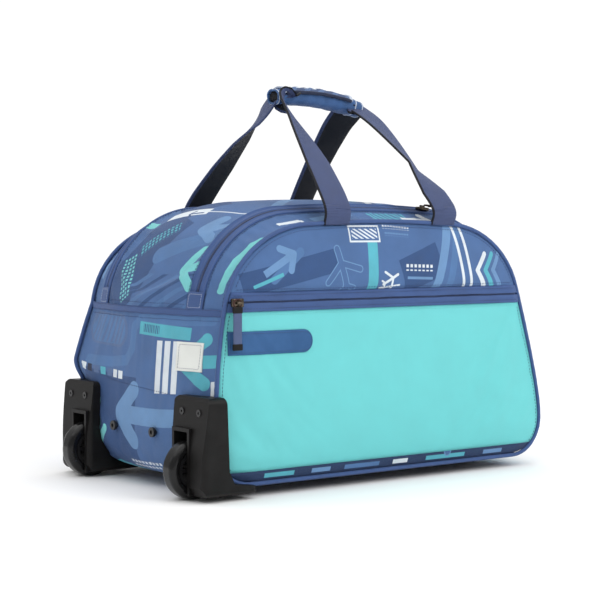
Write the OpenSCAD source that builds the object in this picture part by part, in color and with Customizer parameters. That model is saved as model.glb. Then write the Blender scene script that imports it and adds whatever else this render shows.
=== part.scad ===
// Rolling duffel bag: soft zipped body on two end wheels, with a telescoping
// tow handle along the bottom and a wrapped pair of webbing carry straps.
// X runs from the wheel end to the tow-handle end, Y from front to rear, Z up.
// The origin is on the floor, under the centre of the whole bag.

/* [Bag body] */
// Length of the bag along its bottom
base_l = 472; // [420:2:580]
// Depth between the front and rear seams
bag_d = 270; // [224:2:330]
// Height of the front and rear top seams above the floor
seam_h = 290; // [240:2:350]
// Height of the bag's bottom above the floor
floor_gap = 16; // [13:0.5:20]
// Height of the horizontal seams across the two ends
end_seam_h = 197; // [170:1:210]
// Radius of the four lower corners, seen from the front
corner_r = 42; // [30:1:52]
// Thickness of the padded fabric walls
wall_t = 5; // [3:0.5:7]
// Thickness of the front pocket and rear skins
skin_t = 3; // [2:0.5:5]

/* [Stuffed shape] */
// Rise of the crowned top above its seams
top_crown = 34; // [20:1:45]
// Bulge of the wheel end between its seams
wheel_end_crown = 20; // [10:1:26]
// Bulge of the tow-handle end between its seams
handle_end_crown = 12; // [8:1:20]
// Bulge of the front and rear faces
face_bulge = 12; // [8:1:16]
// Length of each rounded shoulder
shoulder_w = 115; // [90:1:130]
// Height of each rounded shoulder
shoulder_h = 100; // [80:1:120]
// Lean of the wheel end at its seam
wheel_end_lean = 11; // [0:1:30]
// Lean of the tow-handle end at its seam
handle_end_lean = 36; // [0:1:50]
// Angle at which the wheel end meets its shoulder's ellipse
wheel_shoulder_a = 10; // [6:1:14]
// Angle at which the tow-handle end meets its shoulder's ellipse
handle_shoulder_a = 16; // [12:1:20]
// Radius of the shallow arc along the top
top_arc_r = 1600; // [1200:50:2400]

/* [Front pocket] */
// Height of the pocket's top edge above the floor
pocket_top = 199; // [160:1:215]
// Height of the zip band above the pocket
zip_band_h = 19.5; // [14:0.5:26]
// Height of the strip below the pocket
bottom_strip_h = 12; // [8:1:20]
// Length of the plain badge on the pocket
badge_l = 108; // [70:1:130]
// Height of the badge
badge_h = 25; // [15:1:30]

/* [Seams and zips] */
// Diameter of the piping round the front and rear
piping_d = 4.5; // [3:0.5:6]
// Width of each main zip with its tapes
zip_w = 22; // [16:1:28]
// Distance of each main zip from its nearest seam
zip_inset = 41; // [30:1:60]
// Length of a zip slider
slider_l = 14; // [10:1:18]
// Width of a zip slider
slider_w = 9; // [7:0.5:12]
// Height of a zip slider
slider_h = 4.4; // [3:0.2:6]
// Length of a main zip's pull
pull_l = 30; // [20:1:40]
// Length of the front pocket's pull
pocket_pull_l = 50; // [30:1:60]

/* [Wheels] */
// Diameter of the wheels
wheel_d = 64; // [50:1:70]
// Width of the tyres
tyre_w = 21; // [16:1:24]
// Diameter of the hubs
hub_d = 42; // [30:1:46]
// Distance that the wheels stand out beyond the bag's end
wheel_out = 45; // [38:1:50]
// Distance of each wheel from the bag's middle plane
wheel_y = 108; // [80:1:118]
// Diameter of the axles
axle_d = 6; // [5:0.5:8]
// Width of each wheel housing
housing_w = 66; // [58:1:72]
// Height of the housing's top above the floor
housing_top = 110; // [96:1:130]
// Gap between a wheel and its housing
wheel_gap = 2; // [1.5:0.5:4]

/* [Tow handle] */
// Distance between the two tow tubes' centres
tube_pitch = 82; // [70:1:110]
// Diameter of the outer tubes
outer_tube_d = 20; // [18:0.5:24]
// Wall of every tube
tube_t = 1.5; // [1:0.1:1.6]
// Height of the tubes' centres above the bag's bottom
tube_rise = 20; // [18:1:26]
// Radial clearance between sliding tubes
fit = 0.05; // [0.02:0.01:0.1]
// Length of the grip along the bag's depth
grip_l = 128; // [110:1:150]
// Thickness of the grip
grip_t = 20; // [17:0.5:24]
// Travel of the release button
button_travel = 3; // [2:0.5:4]
// Height of the end bolts above the floor
bolt_z = 65; // [58:1:80]

/* [Carry straps] */
// Width of the webbing
web_w = 36; // [25:1:40]
// Thickness of the webbing
web_t = 2.4; // [1.6:0.2:3]
// Distance between the two legs of a strap
leg_pitch = 156; // [130:2:200]
// Offset of the carry straps from the arch's middle towards the tow handle
carry_shift = 13; // [-20:1:20]
// Height of the doubled strap roots above the seams
root_h = 22; // [16:1:30]
// Height of the grip's centre above the top seams
carry_rise = 151; // [120:1:190]
// Length of the wrapped grip
wrap_l = 128; // [100:1:140]
// Outer height and depth of the wrap
wrap_t = 24; // [20:1:30]

/* [Hidden] */
$fn = 48;

PRINT_BLUE = [0.25, 0.40, 0.62];
SLATE = [0.36, 0.45, 0.66];
TEAL = [0.47, 0.83, 0.82];
NAVY = [0.16, 0.20, 0.33];
BLACK = [0.08, 0.08, 0.09];
STEEL = [0.75, 0.76, 0.78];

big = 2000;
sliver = 0.25;
free_gap = 0.3;

overall_l = wheel_out + base_l + handle_end_crown;
wheel_end_x = wheel_out - overall_l / 2;
handle_end_x = wheel_end_x + base_l;
half_d = bag_d / 2;
arch_x0 = wheel_end_x + wheel_end_lean;
arch_x1 = handle_end_x - handle_end_lean;
arch_mid = (arch_x0 + arch_x1) / 2;
arch_flat = (arch_x1 - arch_x0) / 2 - shoulder_w;
arch_z = seam_h - shoulder_h;
top_rise = arch_flat * arch_flat / (2 * top_arc_r);

zip_y = half_d - zip_inset;
zip_slope = atan(2 * top_crown * zip_y / (half_d * half_d));
face_y = half_d + piping_d;
band_out = 6;

wheel_x = wheel_end_x - wheel_out + wheel_d / 2;
wheel_z = wheel_d / 2;
slot_w = tyre_w + 2 * wheel_gap;
housing_y0 = wheel_y - slot_w / 2 - 9.5;
housing_y1 = housing_y0 + housing_w;
housing_z0 = 6;
housing_face = wheel_end_x - wheel_end_crown - 7;
well_x1 = wheel_x + wheel_d / 2 + wheel_gap + 2;
well_wall = 4;
slot_top = wheel_d + 9;

tube_y = tube_pitch / 2;
tube_z = floor_gap + tube_rise;
outer_r = outer_tube_d / 2;
middle_r = outer_r - tube_t - fit;
inner_r = middle_r - tube_t - fit;
tube_x0 = wheel_end_x + 8;
dock_x1 = handle_end_x + handle_end_crown - 2;
dock_depth = 34;
dock_x0 = dock_x1 - dock_depth;
dock_floor = 8;
dock_w = grip_l + 22;
dock_z0 = floor_gap + 2.5;
dock_h = 52;
dock_rim = 6;
grip_depth = 20;
grip_x1 = dock_x1;
grip_x0 = grip_x1 - grip_depth;
tube_x1 = dock_x0 + dock_floor;
button_l = 30;
button_w = 10;

carry_x = arch_mid + carry_shift;
carry_z = seam_h + carry_rise;
leg_x = leg_pitch / 2;
root_y = half_d + piping_d - 2;
root_top_z = seam_h + root_h;
strap_top_y = 3.2;

// ---- outlines ----
function arc(cx, cz, rx, rz, a0, a1, n) =
    [for (i = [0:n]) let (a = a0 + (a1 - a0) * i / n) [cx + rx * cos(a), cz + rz * sin(a)]];
function bend(p, q, r, n) =
    [for (i = [1:n - 1]) let (t = i / n) (1 - t) * (1 - t) * p + 2 * t * (1 - t) * q + t * t * r];
function rounded(x0, y0, x1, y1, r, n = 6) = concat(
    arc(x1 - r, y0 + r, r, r, -90, 0, n), arc(x1 - r, y1 - r, r, r, 0, 90, n),
    arc(x0 + r, y1 - r, r, r, 90, 180, n), arc(x0 + r, y0 + r, r, r, 180, 270, n));

// Outline of the bag seen from the front, grown by g all round, by up at the
// top and by left and right at the ends. Each side curves from the vertical at
// its lower corner to the lean of the shoulder's ellipse.
function outline(g = 0, up = 0, left = 0, right = 0) = let (
        x0 = wheel_end_x - left - g, x1 = handle_end_x + right + g,
        z0 = floor_gap - g, r = corner_r + g,
        sw = shoulder_w + g + (left + right) / 2, sh = shoulder_h + up + g,
        f0 = arch_x0 - left - g + sw, f1 = arch_x1 + right + g - sw,
        p0 = [f0 - sw * cos(wheel_shoulder_a), arch_z + sh * sin(wheel_shoulder_a)],
        p1 = [f1 + sw * cos(handle_shoulder_a), arch_z + sh * sin(handle_shoulder_a)],
        k0 = (p0[0] - x0) / (sw * tan(wheel_shoulder_a)),
        k1 = (x1 - p1[0]) / (sw * tan(handle_shoulder_a)))
    concat(
        arc(x1 - r, z0 + r, r, r, -90, 0, 5),
        bend([x1, z0 + r], [x1, p1[1] - k1 * sh], p1, 5),
        arc(f1, arch_z, sw, sh, handle_shoulder_a, 90, 8),
        [for (i = [1:5]) let (x = f1 + (f0 - f1) * i / 6, u = (2 * x - f0 - f1) / (f1 - f0))
            [x, arch_z + sh + top_rise * (1 - u * u)]],
        arc(f0, arch_z, sw, sh, 90, 180 - wheel_shoulder_a, 8),
        bend(p0, [x0, p0[1] - k0 * sh], [x0, z0 + r], 4),
        arc(x0 + r, z0 + r, r, r, 180, 270, 5));

module plate(y0, y1, points)
    translate([0, y1, 0]) rotate([90, 0, 0]) linear_extrude(y1 - y0) polygon(points);

// The stuffed body between the front and rear seams, grown by g.
module bag_form(g = 0)
    hull() for (s = [-1, -0.82, -0.6, -0.32, 0, 0.32, 0.6, 0.82, 1]) {
        k = 1 - s * s;
        y = s * (half_d - sliver);
        plate(y - sliver, y + sliver,
            outline(g, top_crown * k, wheel_end_crown * k, handle_end_crown * k));
    }

// The bulged face in front of the front seam, thinned by t for its inside.
module face_form(t = 0)
    hull() {
        plate(-half_d - 3 + t, -half_d + (t > 0 ? 1 : 0), outline(-1.6 * t));
        plate(-half_d - face_bulge * 0.62 + t, -half_d - face_bulge * 0.62 + t + sliver,
            outline(-26 - t));
        plate(-half_d - face_bulge + t, -half_d - face_bulge + t + sliver, outline(-62 - t));
    }

module shell()
    difference() { bag_form(); bag_form(-wall_t); }

module face_skin()
    difference() { face_form(); face_form(skin_t); }

module band_y(y0, y1, z0 = end_seam_h, z1 = big)
    translate([-big / 2, y0, z0]) cube([big, y1 - y0, z1 - z0]);

module band_z(z0, z1)
    translate([-big / 2, -big / 2, z0]) cube([big, big, z1 - z0]);

module front_or_rear(side)
    if (side < 0) children(); else mirror([0, 1, 0]) children();

// Space taken by the wheel well, at the front corner.
module well_space()
    translate([housing_face, -wheel_y - slot_w / 2 - well_wall, 0])
        cube([well_x1 + well_wall - housing_face, slot_w + 2 * well_wall, slot_top + well_wall]);

module both_wells() { well_space(); mirror([0, 1, 0]) well_space(); }

// Space taken by the tow-handle dock in the end of the bag.
module dock_space()
    translate([dock_x0, -dock_w / 2, dock_z0]) cube([dock_depth + big, dock_w, dock_h]);

// ---- soft body ----
module front_wall() color(NAVY)
    difference() {
        plate(-half_d, -half_d + skin_t, outline(-wall_t - 0.5));
        both_wells();
    }

module front_upper_panel() color(PRINT_BLUE)
    intersection() { face_skin(); band_z(pocket_top + zip_band_h, big); }

// Flat zip band that the two puffed panels meet.
module pocket_zip() color(SLATE)
    intersection() {
        plate(-half_d - band_out, -half_d - band_out + skin_t, outline(-0.5));
        band_z(pocket_top, pocket_top + zip_band_h);
    }

module front_pocket_panel() color(TEAL)
    intersection() { face_skin(); band_z(floor_gap + bottom_strip_h, pocket_top); }

module front_bottom_strip() color(NAVY)
    intersection() { face_skin(); band_z(0, floor_gap + bottom_strip_h); }

module rear_panel() color(PRINT_BLUE)
    mirror([0, 1, 0]) face_skin();

module gusset(y0, y1)
    intersection() { shell(); band_y(y0, y1); }

module front_gusset_strip() color(PRINT_BLUE) gusset(-half_d, -zip_y - zip_w / 2);
module front_main_zip() color(SLATE) gusset(-zip_y - zip_w / 2, -zip_y + zip_w / 2);
module top_centre_panel() color(PRINT_BLUE) gusset(-zip_y + zip_w / 2, zip_y - zip_w / 2);
module rear_main_zip() color(SLATE) gusset(zip_y - zip_w / 2, zip_y + zip_w / 2);
module rear_gusset_strip() color(PRINT_BLUE) gusset(zip_y + zip_w / 2, half_d);

module lower_shell(x0, x1)
    intersection() {
        shell();
        translate([x0, -half_d, 0]) cube([x1 - x0, bag_d, end_seam_h]);
    }

module wheel_end_panel() color(PRINT_BLUE)
    difference() {
        lower_shell(-big / 2, wheel_end_x + corner_r);
        both_wells();
        for (y = [-tube_y, tube_y]) bolt_hole(y);
    }

module handle_end_panel() color(PRINT_BLUE)
    difference() {
        lower_shell(handle_end_x - corner_r, big / 2);
        dock_space();
    }

module bottom_panel() color(NAVY)
    difference() {
        lower_shell(wheel_end_x + corner_r, handle_end_x - corner_r);
        both_wells();
    }

module piping() color(SLATE)
    difference() {
        plate(-face_y, -half_d, outline(piping_d));
        plate(-face_y - 1, -half_d + 1, outline());
    }

module front_piping() piping();
module rear_piping() mirror([0, 1, 0]) piping();

module binding(x0, x1) color(SLATE)
    difference() {
        intersection() {
            bag_form(1.6);
            translate([x0, -half_d + 0.5, end_seam_h - 4]) cube([x1 - x0, bag_d - 1, 8]);
        }
        bag_form();
    }

module wheel_end_binding() binding(-big / 2, arch_mid);
module handle_end_binding() binding(arch_mid, big / 2);

// Folded fabric tabs that cover both ends of a main zip, just above the seams.
module garage_pair()
    difference() {
        intersection() {
            bag_form(2.2);
            band_y(-zip_y - zip_w / 2 - 1, -zip_y + zip_w / 2 + 1, end_seam_h + 4.3, end_seam_h + 22);
        }
        bag_form();
    }

module zip_garages() color(SLATE) for (side = [-1, 1]) front_or_rear(side) garage_pair();

// Plain badge with one round end, sewn to the pocket by the zip's start.
badge_x = arch_x0 + 1;
badge_z = pocket_top - 21 - badge_h;
module pocket_badge() color(SLATE)
    difference() {
        plate(-half_d - face_bulge - 1.2, -half_d, concat(
            [[badge_x, badge_z + badge_h], [badge_x, badge_z]],
            arc(badge_x + badge_l - badge_h / 2, badge_z + badge_h / 2,
                badge_h / 2, badge_h / 2, -90, 90, 10)));
        face_form();
    }

// Small woven label on the wheel end.
label_w = 42;
label_h = 31;
label_z = 150;
label_y = -93;
module side_label() color("white")
    difference() {
        intersection() {
            bag_form(1);
            translate([-big / 2, label_y - label_w / 2, label_z - label_h / 2])
                cube([big / 2, label_w, label_h]);
        }
        bag_form();
    }

// ---- base ----
board_t = 2.5;
module base_board() color(BLACK)
    difference() {
        translate([0, 0, floor_gap + wall_t + 0.2]) linear_extrude(board_t)
            polygon(rounded(wheel_end_x + corner_r + 1, -half_d + 9,
                handle_end_x - corner_r - 1, half_d - 9, 14));
        both_wells();
    }

pad_z = tube_z + outer_r + 0.5;
pad_t = 4;
module floor_pad() color(NAVY)
    translate([0, 0, pad_z]) linear_extrude(pad_t)
        polygon(rounded(max(well_x1 + well_wall, bracket_x1) + 4, -half_d + 12,
            dock_x0 - 4, half_d - 12, 14));

foot_x = handle_end_x - corner_r - 22;
foot_y = half_d - 62;
module skid_feet() color(BLACK)
    for (y = [-foot_y, foot_y]) translate([foot_x, y, 0]) difference() {
        intersection() {
            translate([-24, 0, 0]) rotate([0, 90, 0]) linear_extrude(48)
                polygon(rounded(-floor_gap, -9, 0, 9, 4));
            rotate([90, 0, 0]) translate([0, 0, -10]) linear_extrude(20)
                polygon([[-24, floor_gap], [-13, 0], [13, 0], [24, floor_gap]]);
        }
        translate([0, 0, -1]) cylinder(r = 3.6, h = 5);
    }

// ---- wheels ----
// Outer block of the front housing before the bag is taken out of it.
module housing_block()
    intersection() {
        translate([0, -housing_y0, 0]) rotate([90, 0, 0]) linear_extrude(housing_w)
            polygon([[housing_face, housing_z0 + 10], [housing_face + 6, housing_z0],
                [well_x1 + 20, housing_z0], [well_x1 + 20, housing_z0 + 9],
                [wheel_end_x + 16, housing_z0 + 30], [wheel_end_x + 8, housing_top * 0.72],
                [wheel_end_x + 2, housing_top], [housing_face + 10, housing_top],
                [housing_face + 7, housing_top - 4], [housing_face + 1, housing_top * 0.45]]);
        translate([housing_face - 5, 0, 0]) rotate([90, 0, 90]) linear_extrude(big / 4)
            polygon(rounded(-housing_y1, housing_z0, -housing_y0, housing_top, 7));
        linear_extrude(big)
            polygon(rounded(housing_face, -housing_y1, well_x1 + 20, -housing_y0, 8));
    }

// Keeps the housing's side wing narrow above its foot, so that the pocket's
// lower corner stays clear.
module wing_cut()
    translate([0, -half_d, 0]) rotate([90, 0, 0]) linear_extrude(housing_w)
        polygon([[wheel_end_x + 3, housing_top + 1], [wheel_end_x + 6, housing_z0 + 26],
            [wheel_end_x + 13, housing_z0 + 12], [well_x1 + 21, housing_z0 + 8],
            [well_x1 + 21, housing_top + 1]]);

// Housing without its slot and holes: the outer block, shaped to the bag's
// corner, and the wheel well that reaches into the bag.
module housing_solid() {
    difference() {
        housing_block();
        bag_form();
        plate(-face_y, -half_d + 0.5, outline(piping_d));
        face_form();
        wing_cut();
    }
    intersection() {
        well_space();
        translate([housing_face, -big / 2, housing_z0]) cube([big, big, big]);
    }
}

module wheel_housing() color(BLACK)
    difference() {
        housing_solid();
        translate([-big / 2, -wheel_y - slot_w / 2, -1])
            cube([big / 2 + well_x1, slot_w, slot_top + 1]);
        translate([wheel_x, -wheel_y, wheel_z]) rotate([90, 0, 0])
            cylinder(d = axle_d + 2 * 0.02, h = axle_l + 0.5, center = true);
        for (s = [-1, 1]) screw_hole(s);
    }

module wheel_housing_front() wheel_housing();
module wheel_housing_rear() mirror([0, 1, 0]) wheel_housing();

screw_pitch = 32;
screw_y = (housing_y0 + housing_y1) / 2;
screw_z = housing_top - 16;
screw_head_d = 8;
screw_x = housing_face + 4.6;
module screw_hole(s)
    translate([screw_x, -screw_y + s * screw_pitch / 2, screw_z]) rotate([0, 90, 0]) {
        translate([0, 0, -10]) cylinder(d = screw_head_d + 0.4, h = 12);
        cylinder(d = 4.2, h = 30);
    }

module housing_screws() color(STEEL)
    for (side = [-1, 1], s = [-1, 1]) front_or_rear(side)
        translate([screw_x, -screw_y + s * screw_pitch / 2, screw_z]) rotate([0, 90, 0])
            difference() {
                union() {
                    translate([0, 0, 0.1]) cylinder(d = screw_head_d, h = 1.8);
                    translate([0, 0, 1.8]) cylinder(d = 4, h = 7);
                }
                translate([0, 0, -1]) cylinder(d = 3, h = 2.4, $fn = 6);
            }

axle_l = slot_w + 2 * well_wall;
module axle() color(STEEL)
    translate([wheel_x, -wheel_y, wheel_z]) rotate([90, 0, 0])
        cylinder(d = axle_d, h = axle_l, center = true);
module axle_front() axle();
module axle_rear() mirror([0, 1, 0]) axle();

hub_w = tyre_w - 3;
module hub() color([0.2, 0.2, 0.22])
    translate([wheel_x, -wheel_y, wheel_z]) rotate([90, 0, 0]) difference() {
        union() {
            difference() {
                cylinder(d = hub_d, h = hub_w, center = true);
                cylinder(d = hub_d - 7, h = hub_w + 1, center = true);
            }
            cylinder(d = 15, h = tyre_w, center = true);
            for (a = [0:60:300]) rotate(a) translate([0, -2, -hub_w / 2 + 2])
                cube([hub_d / 2 - 2, 4, hub_w - 4]);
        }
        cylinder(d = axle_d + 2 * fit, h = tyre_w + 1, center = true);
    }
module hub_front() hub();
module hub_rear() mirror([0, 1, 0]) hub();

tread_side = 2;
tread_r = min(6, (wheel_d - hub_d) / 2 - tread_side - 0.5);
module tyre() color(BLACK)
    translate([wheel_x, -wheel_y, wheel_z]) rotate([90, 0, 0]) rotate_extrude($fn = 96)
        polygon(concat([[hub_d / 2, tyre_w / 2 - 1.5], [hub_d / 2, -tyre_w / 2 + 1.5],
            [hub_d / 2 + tread_side, -tyre_w / 2]],
            arc(wheel_d / 2 - tread_r, -tyre_w / 2 + tread_r, tread_r, tread_r, -90, 0, 6),
            arc(wheel_d / 2 - tread_r, tyre_w / 2 - tread_r, tread_r, tread_r, 0, 90, 6),
            [[hub_d / 2 + tread_side, tyre_w / 2]]));
module tyre_front() tyre();
module tyre_rear() mirror([0, 1, 0]) tyre();

// ---- tow handle ----
bolt_r = 3;
bolt_face_x = wheel_end_x - wheel_end_crown * (1 - tube_y * tube_y / (half_d * half_d));
module bolt_hole(y)
    translate([bolt_face_x - 10, y, bolt_z]) rotate([0, 90, 0]) cylinder(r = bolt_r + 0.1, h = 60);

bracket_t = 14;
bracket_x0 = tube_x0 - 14;
bracket_x1 = tube_x0 + bracket_t;
bracket_z0 = tube_z - outer_r - 3;
module tow_bracket() color(BLACK)
    difference() {
        translate([0, tube_y + 16, 0]) rotate([90, 0, 0]) linear_extrude(tube_pitch + 32)
            polygon([[bracket_x0 + 22, bracket_z0], [bracket_x1, bracket_z0],
                [bracket_x1, bolt_z + 9], [bracket_x0, bolt_z + 9], [bracket_x0, tube_z + 8]]);
        for (y = [-tube_y, tube_y]) {
            translate([tube_x0, y, tube_z]) rotate([0, 90, 0])
                cylinder(r = outer_r + 0.02, h = bracket_t + 1);
            bolt_hole(y);
        }
    }

bolt_head_d = 11;
module bracket_bolts() color(BLACK)
    for (y = [-tube_y, tube_y]) translate([bolt_face_x, y, bolt_z]) rotate([0, 90, 0])
        difference() {
            union() {
                translate([0, 0, -3.6]) cylinder(d = bolt_head_d, h = 3.2);
                translate([0, 0, -1]) cylinder(r = bolt_r, h = 34);
            }
            translate([0, 0, -5]) cylinder(d = 5, h = 3, $fn = 6);
        }

module tow_dock() color(BLACK)
    difference() {
        translate([dock_x0, 0, 0]) rotate([90, 0, 90]) linear_extrude(dock_depth)
            polygon(rounded(-dock_w / 2, dock_z0, dock_w / 2, dock_z0 + dock_h, 12));
        translate([dock_x0 + dock_floor, 0, 0]) rotate([90, 0, 90]) linear_extrude(dock_depth)
            polygon(rounded(-dock_w / 2 + dock_rim, dock_z0 + dock_rim,
                dock_w / 2 - dock_rim, dock_z0 + dock_h - dock_rim, 8));
        for (y = [-tube_y, tube_y]) translate([dock_x0 - 1, y, tube_z]) rotate([0, 90, 0])
            cylinder(r = outer_r + 0.02, h = dock_floor + 2);
    }

module tube(y, r, x0, x1) color(STEEL)
    translate([x0, y, tube_z]) rotate([0, 90, 0]) difference() {
        cylinder(r = r, h = x1 - x0);
        translate([0, 0, -1]) cylinder(r = r - tube_t, h = x1 - x0 + 2);
    }

middle_x0 = tube_x0 + 6;
inner_x0 = middle_x0 + 6;
tube_seat = 7;
yoke_t = 3;
module outer_tube_front() tube(-tube_y, outer_r, tube_x0, tube_x1);
module outer_tube_rear() tube(tube_y, outer_r, tube_x0, tube_x1);
module middle_tube_front() tube(-tube_y, middle_r, middle_x0, tube_x1 + 2);
module middle_tube_rear() tube(tube_y, middle_r, middle_x0, tube_x1 + 2);
module inner_tube_front() tube(-tube_y, inner_r, inner_x0, grip_x0 + tube_seat);
module inner_tube_rear() tube(tube_y, inner_r, inner_x0, grip_x0 + tube_seat);

// Plastic rings at the mouths of the middle tubes, which guide the inner ones.
module middle_collars() color(BLACK)
    for (y = [-tube_y, tube_y]) translate([tube_x1 + 2, y, tube_z]) rotate([0, 90, 0])
        difference() {
            cylinder(r = middle_r + 0.8, h = 2.4);
            translate([0, 0, -1]) cylinder(r = inner_r + fit, h = 5);
        }

// Plugs with the lock's rod guide, pressed into the far ends of the inner tubes.
rod_r = 1.5;
module inner_tube_plugs() color(BLACK)
    for (y = [-tube_y, tube_y]) translate([inner_x0 - 3, y, tube_z]) rotate([0, 90, 0])
        difference() {
            union() {
                cylinder(r = inner_r, h = 3);
                cylinder(r = inner_r - tube_t - 0.02, h = 14);
            }
            translate([0, 0, -1]) cylinder(r = rod_r + 0.3, h = 16);
        }

yoke_gap = 0.4;
module tow_grip() color(BLACK)
    difference() {
        translate([grip_x0, 0, 0]) rotate([90, 0, 90]) linear_extrude(grip_depth)
            polygon(rounded(-grip_l / 2, tube_z - grip_t / 2, grip_l / 2, tube_z + grip_t / 2, 8));
        for (y = [-tube_y, tube_y]) translate([grip_x0 - 1, y, tube_z]) rotate([0, 90, 0])
            cylinder(r = inner_r + 0.02, h = tube_seat + 1 + yoke_gap);
        translate([yoke_x0 - button_travel - yoke_gap, -tube_y - 5, tube_z - 4])
            cube([yoke_t + button_travel + 2 * yoke_gap, tube_pitch + 10, 8]);
        translate([yoke_x0 - yoke_gap, -button_l / 2 - yoke_gap, tube_z - button_w / 2 - yoke_gap])
            cube([grip_depth, button_l + 2 * yoke_gap, button_w + 2 * yoke_gap]);
    }

yoke_x0 = grip_x0 + tube_seat + button_travel + yoke_gap;
button_x0 = yoke_x0 + yoke_t;
module release_button() color([0.25, 0.25, 0.27])
    translate([button_x0, 0, 0]) rotate([90, 0, 90]) linear_extrude(grip_x1 + 2 - button_x0)
        polygon(rounded(-button_l / 2, tube_z - button_w / 2, button_l / 2, tube_z + button_w / 2, 3));

module release_yoke() color(STEEL) {
    translate([yoke_x0, -tube_y - 3, tube_z - 3]) cube([yoke_t, tube_pitch + 6, 6]);
    for (y = [-tube_y, tube_y]) translate([inner_x0, y, tube_z]) rotate([0, 90, 0])
        cylinder(r = rod_r, h = yoke_x0 - inner_x0);
}

// Coil spring behind the yoke, drawn as a plain tube of its outer size.
spring_r = 3.2;
module button_spring() color(STEEL)
    translate([yoke_x0 - button_travel - yoke_gap, 0, tube_z]) rotate([0, 90, 0]) difference() {
        cylinder(r = spring_r, h = button_travel + yoke_gap);
        translate([0, 0, -1]) cylinder(r = spring_r - 0.7, h = button_travel + yoke_gap + 2);
    }

// ---- zip sliders and pulls ----
// Slider's body with its base on z = 0, running along X.
module slider_body()
    linear_extrude(slider_h)
        polygon(rounded(-slider_l / 2, -slider_w / 2, slider_l / 2, slider_w / 2, 2.5));

front_zip_z = seam_h + top_rise + top_crown * (1 - zip_y * zip_y / (half_d * half_d));
slide_x = arch_mid + arch_flat;
slide_drop = top_rise;
slide_tilt = asin((slide_x - arch_mid) / top_arc_r);
lift = 1.1;

// Places a slider's own frame on the front zip, at the handle end of the arc.
module on_front_zip()
    translate([slide_x, -zip_y, front_zip_z - slide_drop]) rotate([zip_slope, 0, 0])
        rotate([0, slide_tilt, 0]) translate([0, 0, lift]) children();

pull_w = 8;
pull_t = 1.8;
pin_r = 1.2;
pin_x = slider_l / 2 - 3;
pin_z = slider_h + 1;
post_w = 3;

// Slider with a post that carries the pull's pin.
module main_slider() color(BLACK) {
    slider_body();
    translate([pin_x - pin_r, -post_w / 2, 0]) cube([2 * pin_r, post_w, pin_z]);
    translate([pin_x, 0, pin_z]) rotate([90, 0, 0])
        cylinder(r = pin_r, h = post_w, center = true);
}

// Pull that lies along +X, with a slot for the slider's post.
module main_pull() color(BLACK)
    translate([pin_x, 0, pin_z]) difference() {
        union() {
            translate([0, -pull_w / 2, -pull_t / 2]) cube([pull_l, pull_w, pull_t]);
            rotate([90, 0, 0]) cylinder(r = pull_t / 2, h = pull_w, center = true);
        }
        translate([-3, -post_w / 2 - 0.3, -3]) cube([3 + pin_r + 2, post_w + 0.6, 6]);
    }

module front_slider() on_front_zip() main_slider();
module rear_slider() mirror([0, 1, 0]) on_front_zip() main_slider();
module front_pull() on_front_zip() main_pull();
module rear_pull() mirror([0, 1, 0]) on_front_zip() main_pull();

// The pocket's slider starts beside the wheel-end piping and runs towards +X.
stud_r = 1.5;
stud_head = 1;
pocket_pull_t = 1.9;
pocket_slide_x = arch_x0 + slider_l / 2 + 3;
pocket_slide_z = pocket_top + zip_band_h / 2;
pocket_slide_y = -half_d - band_out - free_gap;
pull_y = min(pocket_slide_y - slider_h - 0.2, -half_d - face_bulge - 1.2 - free_gap);
module pocket_slider() color(BLACK)
    translate([pocket_slide_x, pocket_slide_y, pocket_slide_z]) rotate([90, 0, 0]) {
        slider_body();
        cylinder(r = stud_r, h = pocket_slide_y - pull_y + pocket_pull_t + 0.3);
        translate([0, 0, pocket_slide_y - pull_y + pocket_pull_t + 0.2])
            cylinder(r = 2 * stud_r, h = stud_head);
    }

// Flat pull that hangs from the pocket slider's stud.
module pocket_pull() color(BLACK)
    translate([pocket_slide_x, pull_y, pocket_slide_z]) rotate([90, 0, 0]) difference() {
        linear_extrude(pocket_pull_t)
            polygon(rounded(-4.5, -pocket_pull_l, 4.5, 4, 3));
        translate([0, 0, -1]) cylinder(r = stud_r + fit, h = pocket_pull_t + 2);
    }

// ---- carry straps ----
// Flat stretch of webbing between two lines, each [centre x, y, z, half width, lean].
module web(a, b)
    hull() for (p = [a, b]) translate([p[0], p[1], p[2]]) rotate([p[4], 0, 0])
        translate([-p[3], -web_t / 2, -0.1]) cube([2 * p[3], web_t, 0.2]);

module strap_roots() color(SLATE)
    for (s = [-1, 1]) translate([carry_x + s * leg_x - web_w / 2, -root_y - 2.2, 0])
        translate([0, 0, seam_h + top_rise + piping_d + 0.2])
            cube([web_w, 4.4, root_h - top_rise - piping_d - 0.4]);

module front_strap_roots() strap_roots();
module rear_strap_roots() mirror([0, 1, 0]) strap_roots();

leg_lean = atan((root_y - strap_top_y) / (carry_z - root_top_z));
hand_half = wrap_l / 2;
top_web_w = web_w * 2 / 3;
hand_web_h = 16;
// Legs rise from the roots, narrow as they turn inwards, and join inside the wrap.
module strap() color(SLATE) {
    for (s = [-1, 1]) {
        foot = [carry_x + s * leg_x, -root_y, root_top_z + 3 * free_gap, web_w / 2, -leg_lean];
        top = [carry_x + s * (hand_half - top_web_w / 2), -strap_top_y, carry_z - 5,
            top_web_w / 2, -leg_lean];
        web(foot, top);
    }
    translate([carry_x - hand_half - 4, -strap_top_y - web_t / 2 - 0.3, carry_z - hand_web_h / 2])
        cube([wrap_l + 8, web_t + 0.6, hand_web_h]);
}

module front_strap() strap();
module rear_strap() mirror([0, 1, 0]) strap();

wrap_wall = 4;
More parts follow.
